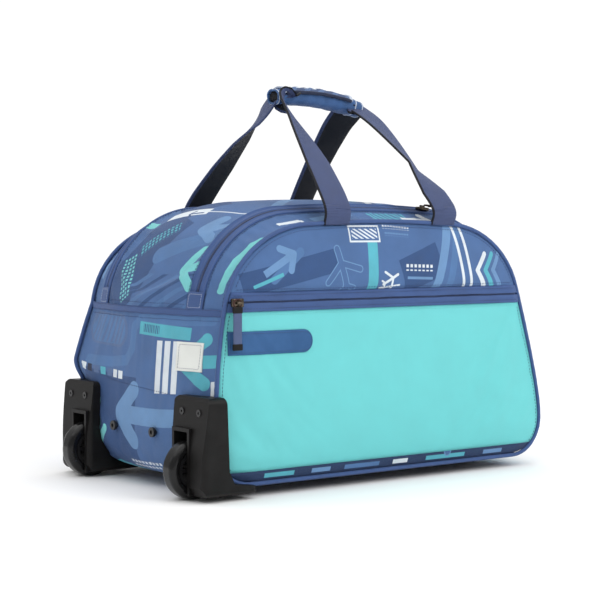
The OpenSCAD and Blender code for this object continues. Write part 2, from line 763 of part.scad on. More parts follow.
// Padded channel round both straps, open on top and notched where the legs leave it.
module grip_wrap() color(PRINT_BLUE)
    difference() {
        translate([carry_x - hand_half, 0, 0]) rotate([90, 0, 90]) linear_extrude(wrap_l)
            polygon(rounded(-wrap_t / 2, carry_z - wrap_t / 2, wrap_t / 2, carry_z + wrap_t / 2 - 3, 6));
        translate([carry_x - hand_half - 1, -wrap_t / 2 + wrap_wall, carry_z - wrap_t / 2 + wrap_wall])
            cube([wrap_l + 2, wrap_t - 2 * wrap_wall, wrap_t]);
        for (s = [-1, 1]) translate([carry_x + s * hand_half, 0, carry_z - wrap_t / 2])
            cube([2 * (top_web_w + 4), wrap_t + 2, wrap_t - 2], center = true);
    }

module wrap_flap() color(PRINT_BLUE)
    translate([carry_x - wrap_l / 2, -wrap_t / 2 - 1, carry_z + wrap_t / 2 - 3 + free_gap])
        cube([wrap_l, wrap_t, 2.4]);

front_wall();
front_upper_panel();
pocket_zip();
front_pocket_panel();
front_bottom_strip();
rear_panel();
front_gusset_strip();
front_main_zip();
top_centre_panel();
rear_main_zip();
rear_gusset_strip();
wheel_end_panel();
handle_end_panel();
bottom_panel();
front_piping();
rear_piping();
wheel_end_binding();
handle_end_binding();
zip_garages();
pocket_badge();
side_label();
base_board();
floor_pad();
skid_feet();
wheel_housing_front();
wheel_housing_rear();
housing_screws();
axle_front();
axle_rear();
hub_front();
hub_rear();
tyre_front();
tyre_rear();
tow_bracket();
bracket_bolts();
tow_dock();
outer_tube_front();
outer_tube_rear();
middle_tube_front();
middle_tube_rear();
middle_collars();
inner_tube_front();
inner_tube_rear();
inner_tube_plugs();
tow_grip();
release_button();
release_yoke();
button_spring();
pocket_slider();
pocket_pull();
front_slider();
front_pull();
rear_slider();
rear_pull();
front_strap_roots();
rear_strap_roots();
front_strap();
rear_strap();
grip_wrap();
wrap_flap();
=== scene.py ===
import math

import bmesh
import bpy
import numpy as np
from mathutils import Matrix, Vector
from mathutils.bvhtree import BVHTree


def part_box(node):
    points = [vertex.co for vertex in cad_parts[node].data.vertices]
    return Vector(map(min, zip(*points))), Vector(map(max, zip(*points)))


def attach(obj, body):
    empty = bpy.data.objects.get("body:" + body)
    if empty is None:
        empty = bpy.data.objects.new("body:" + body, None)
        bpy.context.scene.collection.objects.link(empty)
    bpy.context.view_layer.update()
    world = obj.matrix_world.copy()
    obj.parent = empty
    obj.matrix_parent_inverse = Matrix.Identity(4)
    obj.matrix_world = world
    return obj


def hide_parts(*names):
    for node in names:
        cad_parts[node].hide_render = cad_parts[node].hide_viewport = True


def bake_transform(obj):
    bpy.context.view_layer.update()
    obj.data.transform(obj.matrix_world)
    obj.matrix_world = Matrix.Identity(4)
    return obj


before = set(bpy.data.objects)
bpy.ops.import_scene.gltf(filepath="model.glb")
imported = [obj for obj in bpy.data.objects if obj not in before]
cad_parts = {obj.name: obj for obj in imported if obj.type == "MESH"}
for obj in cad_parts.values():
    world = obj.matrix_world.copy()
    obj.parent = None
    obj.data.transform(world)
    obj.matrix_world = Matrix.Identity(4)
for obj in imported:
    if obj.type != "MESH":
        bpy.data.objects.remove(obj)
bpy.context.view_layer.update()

MM = 0.001
X, Y, Z = np.eye(3)


# ---- sizes, from the frame ----
def low(node):
    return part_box(node)[0]


def high(node):
    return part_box(node)[1]


def middle(node):
    return (low(node) + high(node)) / 2


HALF_D = -low("front_wall").y
PIPING = -HALF_D - low("front_piping").y
WHEEL_END = low("front_piping").x + PIPING
HANDLE_END = high("front_piping").x - PIPING
FLOOR_GAP = low("front_piping").z + PIPING
SEAM_TOP = high("front_piping").z - PIPING
END_SEAM = high("wheel_end_panel").z
TOP_CROWN = high("top_centre_panel").z - SEAM_TOP
WHEEL_CROWN = WHEEL_END - low("wheel_end_panel").x
HANDLE_CROWN = high("handle_end_panel").x - HANDLE_END
FACE_BULGE = -HALF_D - low("front_pocket_panel").y
ZIP_IN = -high("front_main_zip").y
ZIP_OUT = -low("front_main_zip").y
ZIP_Y = (ZIP_IN + ZIP_OUT) / 2
POCKET_TOP = high("front_pocket_panel").z
BAND_TOP = low("front_upper_panel").z
STRIP_TOP = high("front_bottom_strip").z
BAND_Y = low("pocket_zip").y

# The outline's own curves, as the part has them.
CORNER_R = 42 * MM
SHOULDER_W = 115 * MM
SHOULDER_H = 100 * MM
LEAN = (11 * MM, 36 * MM)
SHOULDER_A = (10, 16)
TOP_ARC_R = 1.6

ARCH_X0 = WHEEL_END + LEAN[0]
ARCH_X1 = HANDLE_END - LEAN[1]
ARCH_FLAT = (ARCH_X1 - ARCH_X0) / 2 - SHOULDER_W
TOP_RISE = ARCH_FLAT**2 / (2 * TOP_ARC_R)
ARCH_Z = SEAM_TOP - TOP_RISE - SHOULDER_H


# ---- the bag's form ----
def arc(cx, cz, rx, rz, a0, a1, n):
    a = np.radians(np.linspace(a0, a1, n + 1))
    return np.stack([cx + rx * np.cos(a), cz + rz * np.sin(a)], 1)


def bend(p, q, r, n):
    t = np.linspace(0, 1, n + 1)[1:-1, None]
    return (1 - t) ** 2 * np.array(p) + 2 * t * (1 - t) * np.array(q) + t * t * np.array(r)


def outline(up=0.0, left=0.0, right=0.0, g=0.0):
    """The bag seen from the front, from the lower handle-end corner over the top to the other."""
    x0, x1, z0, r = WHEEL_END - left - g, HANDLE_END + right + g, FLOOR_GAP - g, CORNER_R + g
    sw, sh = SHOULDER_W + g + (left + right) / 2, SHOULDER_H + up + g
    f0, f1 = ARCH_X0 - left - g + sw, ARCH_X1 + right + g - sw
    a0, a1 = (math.radians(a) for a in SHOULDER_A)
    p0 = (f0 - sw * math.cos(a0), ARCH_Z + sh * math.sin(a0))
    p1 = (f1 + sw * math.cos(a1), ARCH_Z + sh * math.sin(a1))
    k0 = (p0[0] - x0) / (sw * math.tan(a0))
    k1 = (x1 - p1[0]) / (sw * math.tan(a1))
    x = np.linspace(f1, f0, 42)[1:-1]
    u = (2 * x - f0 - f1) / (f1 - f0)
    top = np.stack([x, ARCH_Z + sh + TOP_RISE * (1 - u * u)], 1)
    return np.concatenate([
        arc(x1 - r, z0 + r, r, r, -90, 0, 12),
        bend((x1, z0 + r), (x1, p1[1] - k1 * sh), p1, 20),
        arc(f1, ARCH_Z, sw, sh, SHOULDER_A[1], 90, 28),
        top,
        arc(f0, ARCH_Z, sw, sh, 90, 180 - SHOULDER_A[0], 28),
        bend(p0, (x0, p0[1] - k0 * sh), (x0, z0 + r), 20),
        arc(x0 + r, z0 + r, r, r, 180, 270, 12),
    ])


def section(y):
    """The outline at depth y, with the crowned top and ends."""
    k = 1 - (y / HALF_D) ** 2
    return outline(TOP_CROWN * k, WHEEL_CROWN * k, HANDLE_CROWN * k)


def cut_at(points, i, z):
    """The point between points i and i + 1 where the outline crosses height z."""
    a, b = points[i], points[i + 1]
    return a + (b - a) * (z - a[1]) / (b[1] - a[1])


def crossings(points, z):
    s = points[:, 1] - z
    return np.nonzero(s[:-1] * s[1:] < 0)[0]


def resample(points, n):
    d = np.concatenate([[0], np.cumsum(np.linalg.norm(np.diff(points, axis=0), axis=1))])
    t = np.linspace(0, d[-1], n + 1)
    return np.stack([np.interp(t, d, points[:, k]) for k in range(points.shape[1])], 1)


def length(points):
    return float(np.linalg.norm(np.diff(points, axis=0), axis=1).sum())


def span(points, z):
    """The stretch of an outline above height z, from the wheel end to the handle end."""
    i, j = crossings(points, z)[[0, -1]]
    inner = points[i + 1:j + 1]
    return np.concatenate([[cut_at(points, i, z)], inner, [cut_at(points, j, z)]])[::-1]


def arch_line(y):
    """From the wheel-end seam, over the top, to the handle-end seam, at depth y."""
    return span(section(y), END_SEAM)


def wheel_end_line(y):
    """From the bottom, round the lower corner and up to the wheel-end seam, at depth y."""
    points = section(y)
    j = crossings(points, END_SEAM)[-1]
    foot = [[WHEEL_END + CORNER_R, FLOOR_GAP]]
    return np.concatenate([[cut_at(points, j, END_SEAM)], points[j + 1:], foot])[::-1]


def handle_end_line(y):
    """From the handle-end seam down and round the lower corner to the bottom, at depth y."""
    points = section(y)
    i = crossings(points, END_SEAM)[0]
    foot = [[HANDLE_END - CORNER_R, FLOOR_GAP]]
    return np.concatenate([foot, points[:i + 1], [cut_at(points, i, END_SEAM)]])[::-1]


def bottom_line(_y):
    """Along the flat bottom, from the handle end to the wheel end."""
    return np.array([[HANDLE_END - CORNER_R, FLOOR_GAP], [WHEEL_END + CORNER_R, FLOOR_GAP]])


def gusset_grid(line, y0, y1, step):
    """Points and print coordinates of a panel that wraps round the bag between two depths."""
    n_y = max(2, round((y1 - y0) / step))
    n_s = max(2, round(length(line((y0 + y1) / 2)) / step))
    run = np.linspace(0, length(line(0.0)), n_s + 1)
    co, uv = [], []
    for y in np.linspace(y0, y1, n_y + 1):
        row = resample(line(y), n_s)
        co.append(np.stack([row[:, 0], np.full(n_s + 1, y), row[:, 1]], 1))
        uv.append(np.stack([run, np.full(n_s + 1, y)], 1))
    return np.array(co), np.array(uv)


FRONT_OUTLINE = outline()


def seam_distance(x, z):
    """Distance of points from the front seam."""
    ring = np.concatenate([FRONT_OUTLINE, FRONT_OUTLINE[:1]])
    a, b = ring[:-1], ring[1:]
    p = np.stack([x.ravel(), z.ravel()], 1)
    d = b - a
    t = ((p[:, None] - a) * d).sum(-1) / np.maximum((d * d).sum(-1), 1e-12)
    near = a + np.clip(t, 0, 1)[..., None] * d
    return np.linalg.norm(p[:, None] - near, axis=-1).min(1).reshape(x.shape)


EDGE_STEP = 2 * MM  # a face's stand-out right at its seam
EDGE_SOFT = 20 * MM  # how far from the seam it swells
HOLD_SOFT = 5 * MM  # how far a tape's hold on a face reaches


def face_depth(x, z):
    """How far a face stands out beyond its seam."""
    return EDGE_STEP + (FACE_BULGE - EDGE_STEP) * (1 - np.exp(-seam_distance(x, z) / EDGE_SOFT))


def row_limits(z):
    """Lowest and highest x of the front outline at height z."""
    if z <= FLOOR_GAP + 1e-6:
        return WHEEL_END + CORNER_R, HANDLE_END - CORNER_R
    row = span(FRONT_OUTLINE, z)
    return row[0, 0], row[-1, 0]


def face_rows(z0, z1, step, dip=()):
    """A stretch of the front face between two heights; dip gives heights where it is held in."""
    n_z = max(2, round((z1 - z0) / step))
    n_x = round((HANDLE_END - WHEEL_END) / step)
    rows = []
    for z in np.linspace(z0, z1, n_z + 1):
        a, b = row_limits(z)
        rows.append(np.stack([np.linspace(a, b, n_x + 1), np.full(n_x + 1, z)], 1))
    return held_in(np.array(rows), dip)


def held_in(xz, dip):
    out = face_depth(xz[..., 0], xz[..., 1])
    for z in dip:
        k = np.exp(-np.abs(xz[..., 1] - z) / HOLD_SOFT)
        out = out * (1 - k) + np.minimum(out, -HALF_D - BAND_Y) * k
    co = np.stack([xz[..., 0], -HALF_D - out, xz[..., 1]], -1)
    return co, xz.copy()


def face_cap(step, dip):
    """The front face above the pocket zip, between the zip band and the arch."""
    arch = span(FRONT_OUTLINE, BAND_TOP)
    n_x = round(length(arch) / step)
    top = resample(arch, n_x)
    bottom = np.stack([np.linspace(top[0, 0], top[-1, 0], n_x + 1), np.full(n_x + 1, BAND_TOP)], 1)
    n_z = round((SEAM_TOP - BAND_TOP) / step)
    t = np.linspace(0, 1, n_z + 1)[:, None, None]
    return held_in(bottom[None] * (1 - t) + top[None] * t, dip)


def face_whole(step):
    """The whole rear face, as one sheet between four stretches of the outline."""
    ring = resample(np.concatenate([FRONT_OUTLINE, FRONT_OUTLINE[:1]]), 2000)[:-1]
    corner = [np.argmin(np.linalg.norm(ring - np.array(p), axis=1)) for p in (
        (WHEEL_END, FLOOR_GAP), (HANDLE_END, FLOOR_GAP), (ARCH_X1, SEAM_TOP), (ARCH_X0, SEAM_TOP))]
    ring = np.roll(ring, -corner[1], axis=0)
    k = [(c - corner[1]) % len(ring) for c in corner]
    right, top, left = ring[:k[2] + 1], ring[k[2]:k[3] + 1], ring[k[3]:k[0] + 1]
    bottom = np.concatenate([ring[k[0]:], ring[:1]])
    n_x, n_z = round(length(top) / step), round(length(right) / step)
    b, t = resample(bottom, n_x), resample(top, n_x)[::-1]
    r, l = resample(right, n_z), resample(left, n_z)[::-1]
    u, v = np.linspace(0, 1, n_x + 1)[None, :, None], np.linspace(0, 1, n_z + 1)[:, None, None]
    xz = (b[None] * (1 - v) + t[None] * v + l[:, None] * (1 - u) + r[:, None] * u
          - b[0] * (1 - u) * (1 - v) - b[-1] * u * (1 - v) - t[0] * (1 - u) * v - t[-1] * u * v)
    return held_in(xz, ())


# The corner over the rear wheel housing is drawn out, by these distances in x and y.
SPLAY = (16 * MM, 9 * MM)
SPLAY_Z = (105 * MM, 200 * MM)
SPLAY_HOLD = (101 * MM, 136 * MM)
SPLAY_FROM = 60 * MM
SPLAY_REACH = 110 * MM


def splay(co):
    """Draws the soft corner over the rear wheel housing outwards, as its load pushes it."""
    co = np.array(co, float)
    x, y, z = co[..., 0], co[..., 1], co[..., 2]
    rise = np.clip((SPLAY_Z[1] - z) / (SPLAY_Z[1] - SPLAY_Z[0]), 0, 1)
    back = np.clip((y - SPLAY_FROM) / (HALF_D - SPLAY_FROM), 0, 1)
    near = 0.5 + 0.5 * np.cos(math.pi * np.clip((x - WHEEL_END) / SPLAY_REACH, 0, 1))
    above = np.clip((z - SPLAY_HOLD[0]) / (SPLAY_HOLD[1] - SPLAY_HOLD[0]), 0, 1)
    share = rise * back * near * (above * above * (3 - 2 * above))
    co[..., 0] -= SPLAY[0] * share
    co[..., 1] += SPLAY[1] * share
    return co


# ---- mesh helpers ----
def mesh_piece(name, verts, faces, uv=None, smooth=True):
    """A new object from points and faces; uv is the print's coordinates, one pair a point."""
    mesh = bpy.data.meshes.new(name)
    mesh.from_pydata([tuple(v) for v in verts], [], [tuple(int(i) for i in f) for f in faces])
    if uv is not None:
        layer = mesh.uv_layers.new(name="print")
        index = np.zeros(len(mesh.loops), np.int32)
        mesh.loops.foreach_get("vertex_index", index)
        layer.data.foreach_set("uv", np.asarray(uv, np.float32)[index].ravel())
    mesh.polygons.foreach_set("use_smooth", [smooth] * len(mesh.polygons))
    mesh.update()
    piece = bpy.data.objects.new(name, mesh)
    bpy.context.scene.collection.objects.link(piece)
    return piece


def grid_faces(rows, columns, flip=False, wrap=False):
    faces = []
    for i in range(rows if wrap else rows - 1):
        for j in range(columns - 1):
            a, b = i * columns + j, (i + 1) % rows * columns + j
            face = (a, a + 1, b + 1, b)
            faces.append(face[::-1] if flip else face)
    return faces


def grid_piece(name, co, uv, flip=False):
    rows, columns = co.shape[:2]
    return mesh_piece(name, co.reshape(-1, 3), grid_faces(rows, columns, flip), uv.reshape(-1, 2))


def finish_piece(piece, material, body, *nodes, slot=None):
    """Gives a piece its material, its body and the CAD nodes that it stands for."""
    piece.data.materials.clear()
    piece.data.materials.append(material)
    if body:
        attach(piece, body)
    if nodes:
        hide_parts(*nodes)
    return piece


def thicken(piece, amount):
    """Gives a sheet its thickness, inwards."""
    solid = piece.modifiers.new("thickness", "SOLIDIFY")
    solid.thickness = amount
    solid.offset = -1.0
    solid.use_even_offset = False
    return piece


def bevel(piece, width):
    """Softens a hard piece's edges without touching its mesh."""
    weld = piece.modifiers.new("weld", "WELD")
    weld.merge_threshold = 0.01 * MM
    flat = piece.modifiers.new("planes", "DECIMATE")
    flat.decimate_type = "DISSOLVE"
    flat.angle_limit = math.radians(1.5)
    round_off = piece.modifiers.new("bevel", "BEVEL")
    round_off.width = width
    round_off.segments = 2
    round_off.limit_method = "ANGLE"
    round_off.angle_limit = math.radians(30)
    round_off.harden_normals = False


def smooth(piece):
    """Smooth shading that keeps the flat faces flat."""
    mesh = piece.data
    mesh.polygons.foreach_set("use_smooth", [True] * len(mesh.polygons))
    modifier = piece.modifiers.new("normals", "WEIGHTED_NORMAL")
    modifier.keep_sharp = True


def catmull(points, n):
    """A smooth curve through the given points, at n + 1 even places."""
    p = np.array(points, float)
    p = np.concatenate([[2 * p[0] - p[1]], p, [2 * p[-1] - p[-2]]])
    out = []
    for i in range(1, len(p) - 2):
        t = np.linspace(0, 1, 24, endpoint=False)[:, None]
        a, b, c, d = p[i - 1], p[i], p[i + 1], p[i + 2]
        out.append(0.5 * (2 * b + (c - a) * t + (2 * a - 5 * b + 4 * c - d) * t**2
                          + (3 * b - a - 3 * c + d) * t**3))
    return resample(np.concatenate([*out, p[-2:-1]]), n)


def unit(v):
    return v / np.maximum(np.linalg.norm(v, axis=-1, keepdims=True), 1e-12)


def sweep(name, path, across, profile, closed=False):
    """Sweeps a profile along a path; across is the direction of the profile's first axis."""
    path = np.array(path, float)
    if closed:
        tangent = unit(np.roll(path, -1, 0) - np.roll(path, 1, 0))
    else:
        tangent = unit(np.gradient(path, axis=0))
    side = unit(across - (across * tangent).sum(-1, keepdims=True) * tangent)
    up = np.cross(side, tangent)
    k = len(profile)
    verts = path[:, None] + side[:, None] * profile[None, :, :1] + up[:, None] * profile[None, :, 1:2]
    n = len(path)
    along = np.concatenate([[0], np.cumsum(np.linalg.norm(np.diff(path, axis=0), axis=1))])
    girth = np.concatenate([[0], np.cumsum(np.linalg.norm(np.diff(profile, axis=0), axis=1))])
    uv = np.stack(np.broadcast_arrays(girth[None], along[:, None]), -1)
    faces = []
    for i in range(n if closed else n - 1):
        for j in range(k):
            a, b = i * k + j, (i + 1) % n * k + j
            a2, b2 = i * k + (j + 1) % k, (i + 1) % n * k + (j + 1) % k
            faces.append((a, a2, b2, b))
    if not closed:
        faces.append(tuple(range(k))[::-1])
        faces.append(tuple(range((n - 1) * k, n * k)))
    return mesh_piece(name, verts.reshape(-1, 3), faces, uv.reshape(-1, 2))


def ring_profile(rx, ry, n=12):
    a = np.linspace(0, 2 * math.pi, n, endpoint=False)
    return np.stack([rx * np.cos(a), ry * np.sin(a)], 1)


def flat_profile(width, thickness, n=5):
    """A flat band's section with rounded edges."""
    r = thickness / 2
    a = np.radians(np.linspace(-90, 90, n))
    right = np.stack([width / 2 - r + r * np.cos(a), r * np.sin(a)], 1)
    inner = np.linspace(width / 2 - r, -width / 2 + r, 7)[1:-1]
    top = np.stack([inner, np.full(5, r)], 1)
    return np.concatenate([right, top, -right, -top])


# ---- materials ----
SLATE = (0.040, 0.062, 0.150, 1)
SLATE_LIGHT = (0.052, 0.100, 0.255, 1)
BASE_BLUE = (0.072, 0.150, 0.335, 1)
DEEP_BLUE = (0.036, 0.085, 0.220, 1)
MID_BLUE = (0.085, 0.185, 0.390, 1)
SKY_BLUE = (0.150, 0.290, 0.520, 1)
PRINT_TEAL = (0.100, 0.440, 0.540, 1)
PRINT_MINT = (0.190, 0.600, 0.620, 1)
PRINT_WHITE = (0.720, 0.780, 0.830, 1)
GREY_BLUE = (0.095, 0.160, 0.320, 1)
TEAL = (0.165, 0.640, 0.650, 1)
NAVY = (0.018, 0.026, 0.060, 1)
WEB_BLUE = (0.060, 0.082, 0.180, 1)


class Paint:
    """One material, with short calls for its nodes."""

    def __init__(self, name, roughness=0.6, metallic=0.0, sheen=0.0, specular=0.5, coat=0.0):
        self.material = bpy.data.materials.new(name)
        self.material.use_nodes = True
        self.tree = self.material.node_tree
        self.shader = self.tree.nodes["Principled BSDF"]
        for socket, value in (("Roughness", roughness), ("Metallic", metallic), ("Sheen Weight", sheen),
                              ("Specular IOR Level", specular), ("Coat Weight", coat)):
            self.shader.inputs[socket].default_value = value
        self.shader.inputs["Sheen Roughness"].default_value = 0.45
        self.shader.inputs["Coat Roughness"].default_value = 0.25

    def put(self, socket, value):
        if isinstance(value, bpy.types.NodeSocket):
            self.tree.links.new(value, socket)
        elif value is not None:
            socket.default_value = value

    def node(self, kind, inputs=(), output=0, **settings):
        n = self.tree.nodes.new(kind)
        for key, value in settings.items():
            setattr(n, key, value)
        for key, value in dict(inputs).items():
            self.put(n.inputs[key], value)
        return n.outputs[output]

    def math(self, operation, a, b=None, c=None):
        return self.node("ShaderNodeMath", {0: a, 1: b, 2: c}, operation=operation)

    def mix(self, share, a, b):
        n = self.tree.nodes.new("ShaderNodeMix")
        n.data_type = "RGBA"
        for key, value in (("Factor", share), ("A", a), ("B", b)):
            socket = [s for s in n.inputs if s.name == key and s.enabled][0]
            self.put(socket, value)
        return [s for s in n.outputs if s.enabled][0]

    def cloth_place(self):
        return self.node("ShaderNodeUVMap", uv_map="print")

    def object_place(self):
        return self.node("ShaderNodeTexCoord", output="Object")

    def split(self, vector):
        n = self.tree.nodes.new("ShaderNodeSeparateXYZ")
        self.put(n.inputs[0], vector)
        return n.outputs["X"], n.outputs["Y"]

    def shaded(self, colour, shade):
        """A colour times a grey."""
        grey = self.node("ShaderNodeCombineXYZ", {0: shade, 1: shade, 2: shade})
        return self.node("ShaderNodeMix", {6: colour, 7: grey, 0: 1.0}, output=2,
                         data_type="RGBA", blend_type="MULTIPLY")

    def noise(self, vector, scale, detail=3, roughness=0.5):
        return self.node("ShaderNodeTexNoise", {"Vector": vector, "Scale": scale, "Detail": detail,
                                                "Roughness": roughness}, output="Fac")

    def levels(self, value, low_in, high_in, low_out=0.0, high_out=1.0):
        return self.node("ShaderNodeMapRange", {"Value": value, "From Min": low_in, "From Max": high_in,
                                                "To Min": low_out, "To Max": high_out})

    def bump(self, height, distance, strength):
        return self.node("ShaderNodeBump", {"Height": height, "Distance": distance,
                                            "Strength": strength})

    def set(self, **sockets):
        for key, value in sockets.items():
            self.put(self.shader.inputs[key.replace("_", " ")], value)
        return self.material


WEAVE_PITCH = 0.7 * MM
WEAVE_DEPTH = 0.16 * MM


def weave(paint, uv, pitch):
    """Height of a plain weave and the normal that it gives."""
    u, v = paint.split(uv)
    turn = 2 * math.pi / pitch
    warp = paint.math("SINE", paint.math("MULTIPLY", u, turn))
    weft = paint.math("SINE", paint.math("MULTIPLY", v, turn))
    slub = paint.noise(uv, 900, 2)
    height = paint.math("MULTIPLY_ADD", slub, 0.8, paint.math("MULTIPLY", warp, weft))
    return height, paint.bump(height, WEAVE_DEPTH, 0.55)


def cloth_finish(paint, uv, colour, wear=0.10, pitch=WEAVE_PITCH):
    """Weave, cloudy colour variation, painted shade in the weave's hollows and an uneven gloss over a colour.
    """
    height, normal = weave(paint, uv, pitch)
    clouds = paint.noise(uv, 26, 4, 0.6)
    dark = paint.levels(clouds, 0.3, 0.7, 1 - wear, 1 + wear)
    # painted shade: the colour darkens where the weave's height is low and lightens on its raised crossings
    weave_shade = paint.levels(height, -1.0, 1.8, 0.90, 1.07)
    coloured = paint.shaded(colour, paint.math("MULTIPLY", dark, weave_shade))
    rough = paint.levels(clouds, 0.3, 0.7, 0.50, 0.66)
    return paint.set(Base_Color=coloured, Normal=normal, Roughness=rough)


def plain_cloth(name, colour, pitch=WEAVE_PITCH, sheen=0.06, wear=0.10):
    paint = Paint(name, roughness=0.6, sheen=sheen, specular=0.22)
    return cloth_finish(paint, paint.cloth_place(), colour, wear, pitch)


class Print:
    """Shapes of the printed pattern, in metres on the cloth. Each call paints over the last."""

    def __init__(self, name, base):
        self.paint = paint = Paint(name, roughness=0.6, sheen=0.06, specular=0.25)
        self.uv = paint.cloth_place()
        u, v = paint.split(self.uv)
        self.point = paint.node("ShaderNodeCombineXYZ", {0: u, 1: v, 2: 1.0})
        self.colour = base

    def over(self, mask, colour):
        self.colour = self.paint.mix(mask, self.colour, colour)

    def axis(self, origin, angle):
        """Coordinates along and across a direction, from an origin in millimetres."""
        c, s = math.cos(math.radians(angle)), math.sin(math.radians(angle))
        x, y = origin[0] * MM, origin[1] * MM
        return [self.paint.node("ShaderNodeVectorMath", {0: self.point, 1: row},
                                output="Value", operation="DOT_PRODUCT")
                for row in ((c, s, -c * x - s * y), (-s, c, s * x - c * y))]

    def within(self, value, centre, half):
        return self.paint.math("COMPARE", value, centre * MM, half * MM)

    def both(self, a, b):
        return self.paint.math("MULTIPLY", a, b)

    def either(self, a, b):
        return self.paint.math("MAXIMUM", a, b)

    def bar_mask(self, start, size, angle=0.0):
        """A bar of (length, width) from a start point, in millimetres."""
        along, across = self.axis(start, angle)
        return self.both(self.within(along, size[0] / 2, size[0] / 2),
                         self.within(across, 0, size[1] / 2))

    def bar(self, start, size, angle, colour):
        self.over(self.bar_mask(start, size, angle), colour)

    def disc_mask(self, centre, radius):
        place = (centre[0] * MM, centre[1] * MM, 1)
        spot = self.paint.node("ShaderNodeVectorMath", {0: self.point, 1: place},
                               output="Value", operation="DISTANCE")
        return self.paint.math("LESS_THAN", spot, radius * MM)

    def pill_mask(self, start, size, angle=0.0):
        c, s = math.cos(math.radians(angle)), math.sin(math.radians(angle))
        end = (start[0] + c * size[0], start[1] + s * size[0])
        bar = self.bar_mask(start, size, angle)
        caps = self.either(self.disc_mask(start, size[1] / 2), self.disc_mask(end, size[1] / 2))
        return self.either(bar, caps)

    def pill(self, start, size, angle, colour):
        self.over(self.pill_mask(start, size, angle), colour)

    def pipe(self, points, width, colour):
        """A thick bent line with round corners."""
        mask = None
        for a, b in zip(points, points[1:]):
            angle = math.degrees(math.atan2(b[1] - a[1], b[0] - a[0]))
            part = self.pill_mask(a, (math.dist(a, b), width), angle)
            mask = part if mask is None else self.either(mask, part)
        self.over(mask, colour)

    def arrow(self, tip, shaft, angle, colour, head=26, spread=48):
        """An arrow with a round-ended head; angle is where it points, shaft its (length, width)."""
        back = math.radians(angle + 180)
        tip_in = (tip[0] + math.cos(back) * shaft[1] * 0.6, tip[1] + math.sin(back) * shaft[1] * 0.6)
        mask = self.bar_mask(tip_in, (shaft[0], shaft[1]), angle + 180)
        for side in (-spread, spread):
            mask = self.either(mask, self.pill_mask(tip_in, (head, shaft[1]), angle + 180 + side))
        self.over(mask, colour)

    def stripes(self, area, angle, pitch, share, colour):
        """Hatching inside a bar given as (start, size, angle)."""
        along, _ = self.axis((0, 0), angle)
        wave = self.paint.math("FRACT", self.paint.math("DIVIDE", along, pitch * MM))
        lines = self.paint.math("LESS_THAN", wave, share)
        self.over(self.both(lines, self.bar_mask(*area)), colour)

    def checks(self, area, pitch, colour):
        """Rows of small squares inside a bar given as (start, size, angle)."""
        cells = self.bar_mask(*area)
        for value in self.axis(area[0], area[2]):
            wave = self.paint.math("FRACT", self.paint.math("DIVIDE", value, pitch * MM))
            cells = self.both(cells, self.paint.math("LESS_THAN", wave, 0.6))
        self.over(cells, colour)

    def finish(self):
        return cloth_finish(self.paint, self.uv, self.colour)


# ---- cloth ----
CLOTH = {"quality": 5, "mass": 0.25, "tension_stiffness": 18, "compression_stiffness": 18,
         "shear_stiffness": 8, "bending_stiffness": 0.6, "air_damping": 4, "use_pressure": True}
PUFF_FRAMES = 16
PUFF_GRAVITY = 0.15


def puff(piece, pressure, grow, cap):
    """Stuffs a panel whose edges are sewn down: a cloth simulation, applied to the mesh."""
    mesh = piece.data
    count = len(mesh.vertices)
    rest = np.zeros(count * 3)
    mesh.vertices.foreach_get("co", rest)
    rest = rest.reshape(-1, 3)
    work = bmesh.new()
    work.from_mesh(mesh)
    edge = [v.index for v in work.verts if v.is_boundary]
    work.free()
    pins = piece.vertex_groups.new(name="sewn")
    pins.add(edge, 1.0, "REPLACE")
    cloth = piece.modifiers.new("cloth", "CLOTH")
    for key, value in CLOTH.items():
        setattr(cloth.settings, key, value)
    cloth.settings.uniform_pressure_force = pressure
    cloth.settings.vertex_group_mass = "sewn"
    cloth.settings.shrink_min = -grow
    cloth.settings.effector_weights.gravity = PUFF_GRAVITY
    cloth.collision_settings.use_collision = False
    cloth.point_cache.frame_start = 1
    cloth.point_cache.frame_end = PUFF_FRAMES
    for frame_number in range(1, PUFF_FRAMES + 1):
        bpy.context.scene.frame_set(frame_number)
    solved = piece.evaluated_get(bpy.context.evaluated_depsgraph_get())
    co = np.zeros(count * 3)
    solved.data.vertices.foreach_get("co", co)
    move = co.reshape(-1, 3) - rest
    size = np.linalg.norm(move, axis=1, keepdims=True)
    move *= np.where(size > 1e-9, cap * np.tanh(size / cap) / np.maximum(size, 1e-9), 0)
    piece.modifiers.remove(cloth)
    mesh.vertices.foreach_set("co", (rest + move).astype(np.float32).ravel())
    mesh.update()
    piece.vertex_groups.clear()


def surface_of(piece):
    """A tree of a piece's own faces, to seat details on."""
    verts = [v.co.copy() for v in piece.data.vertices]
    return BVHTree.FromPolygons(verts, [tuple(p.vertices) for p in piece.data.polygons])


def seated(tree, points, lift=0.0):
    """Points moved onto a surface, and the surface's normals there."""
    places, normals = [], []
    for p in points:
        place, normal, _, _ = tree.find_nearest(Vector(p))
        places.append(np.array(place + normal * lift))
        normals.append(np.array(normal))
    return np.array(places), np.array(normals)


THREAD_SIDES = 5
# Rings of a dash: how far along it, its share of the thread's radius, and its height.
DASH = ((0.0, 0.45, -0.25), (0.2, 1.0, 0.35), (0.8, 1.0, 0.35), (1.0, 0.45, -0.25))


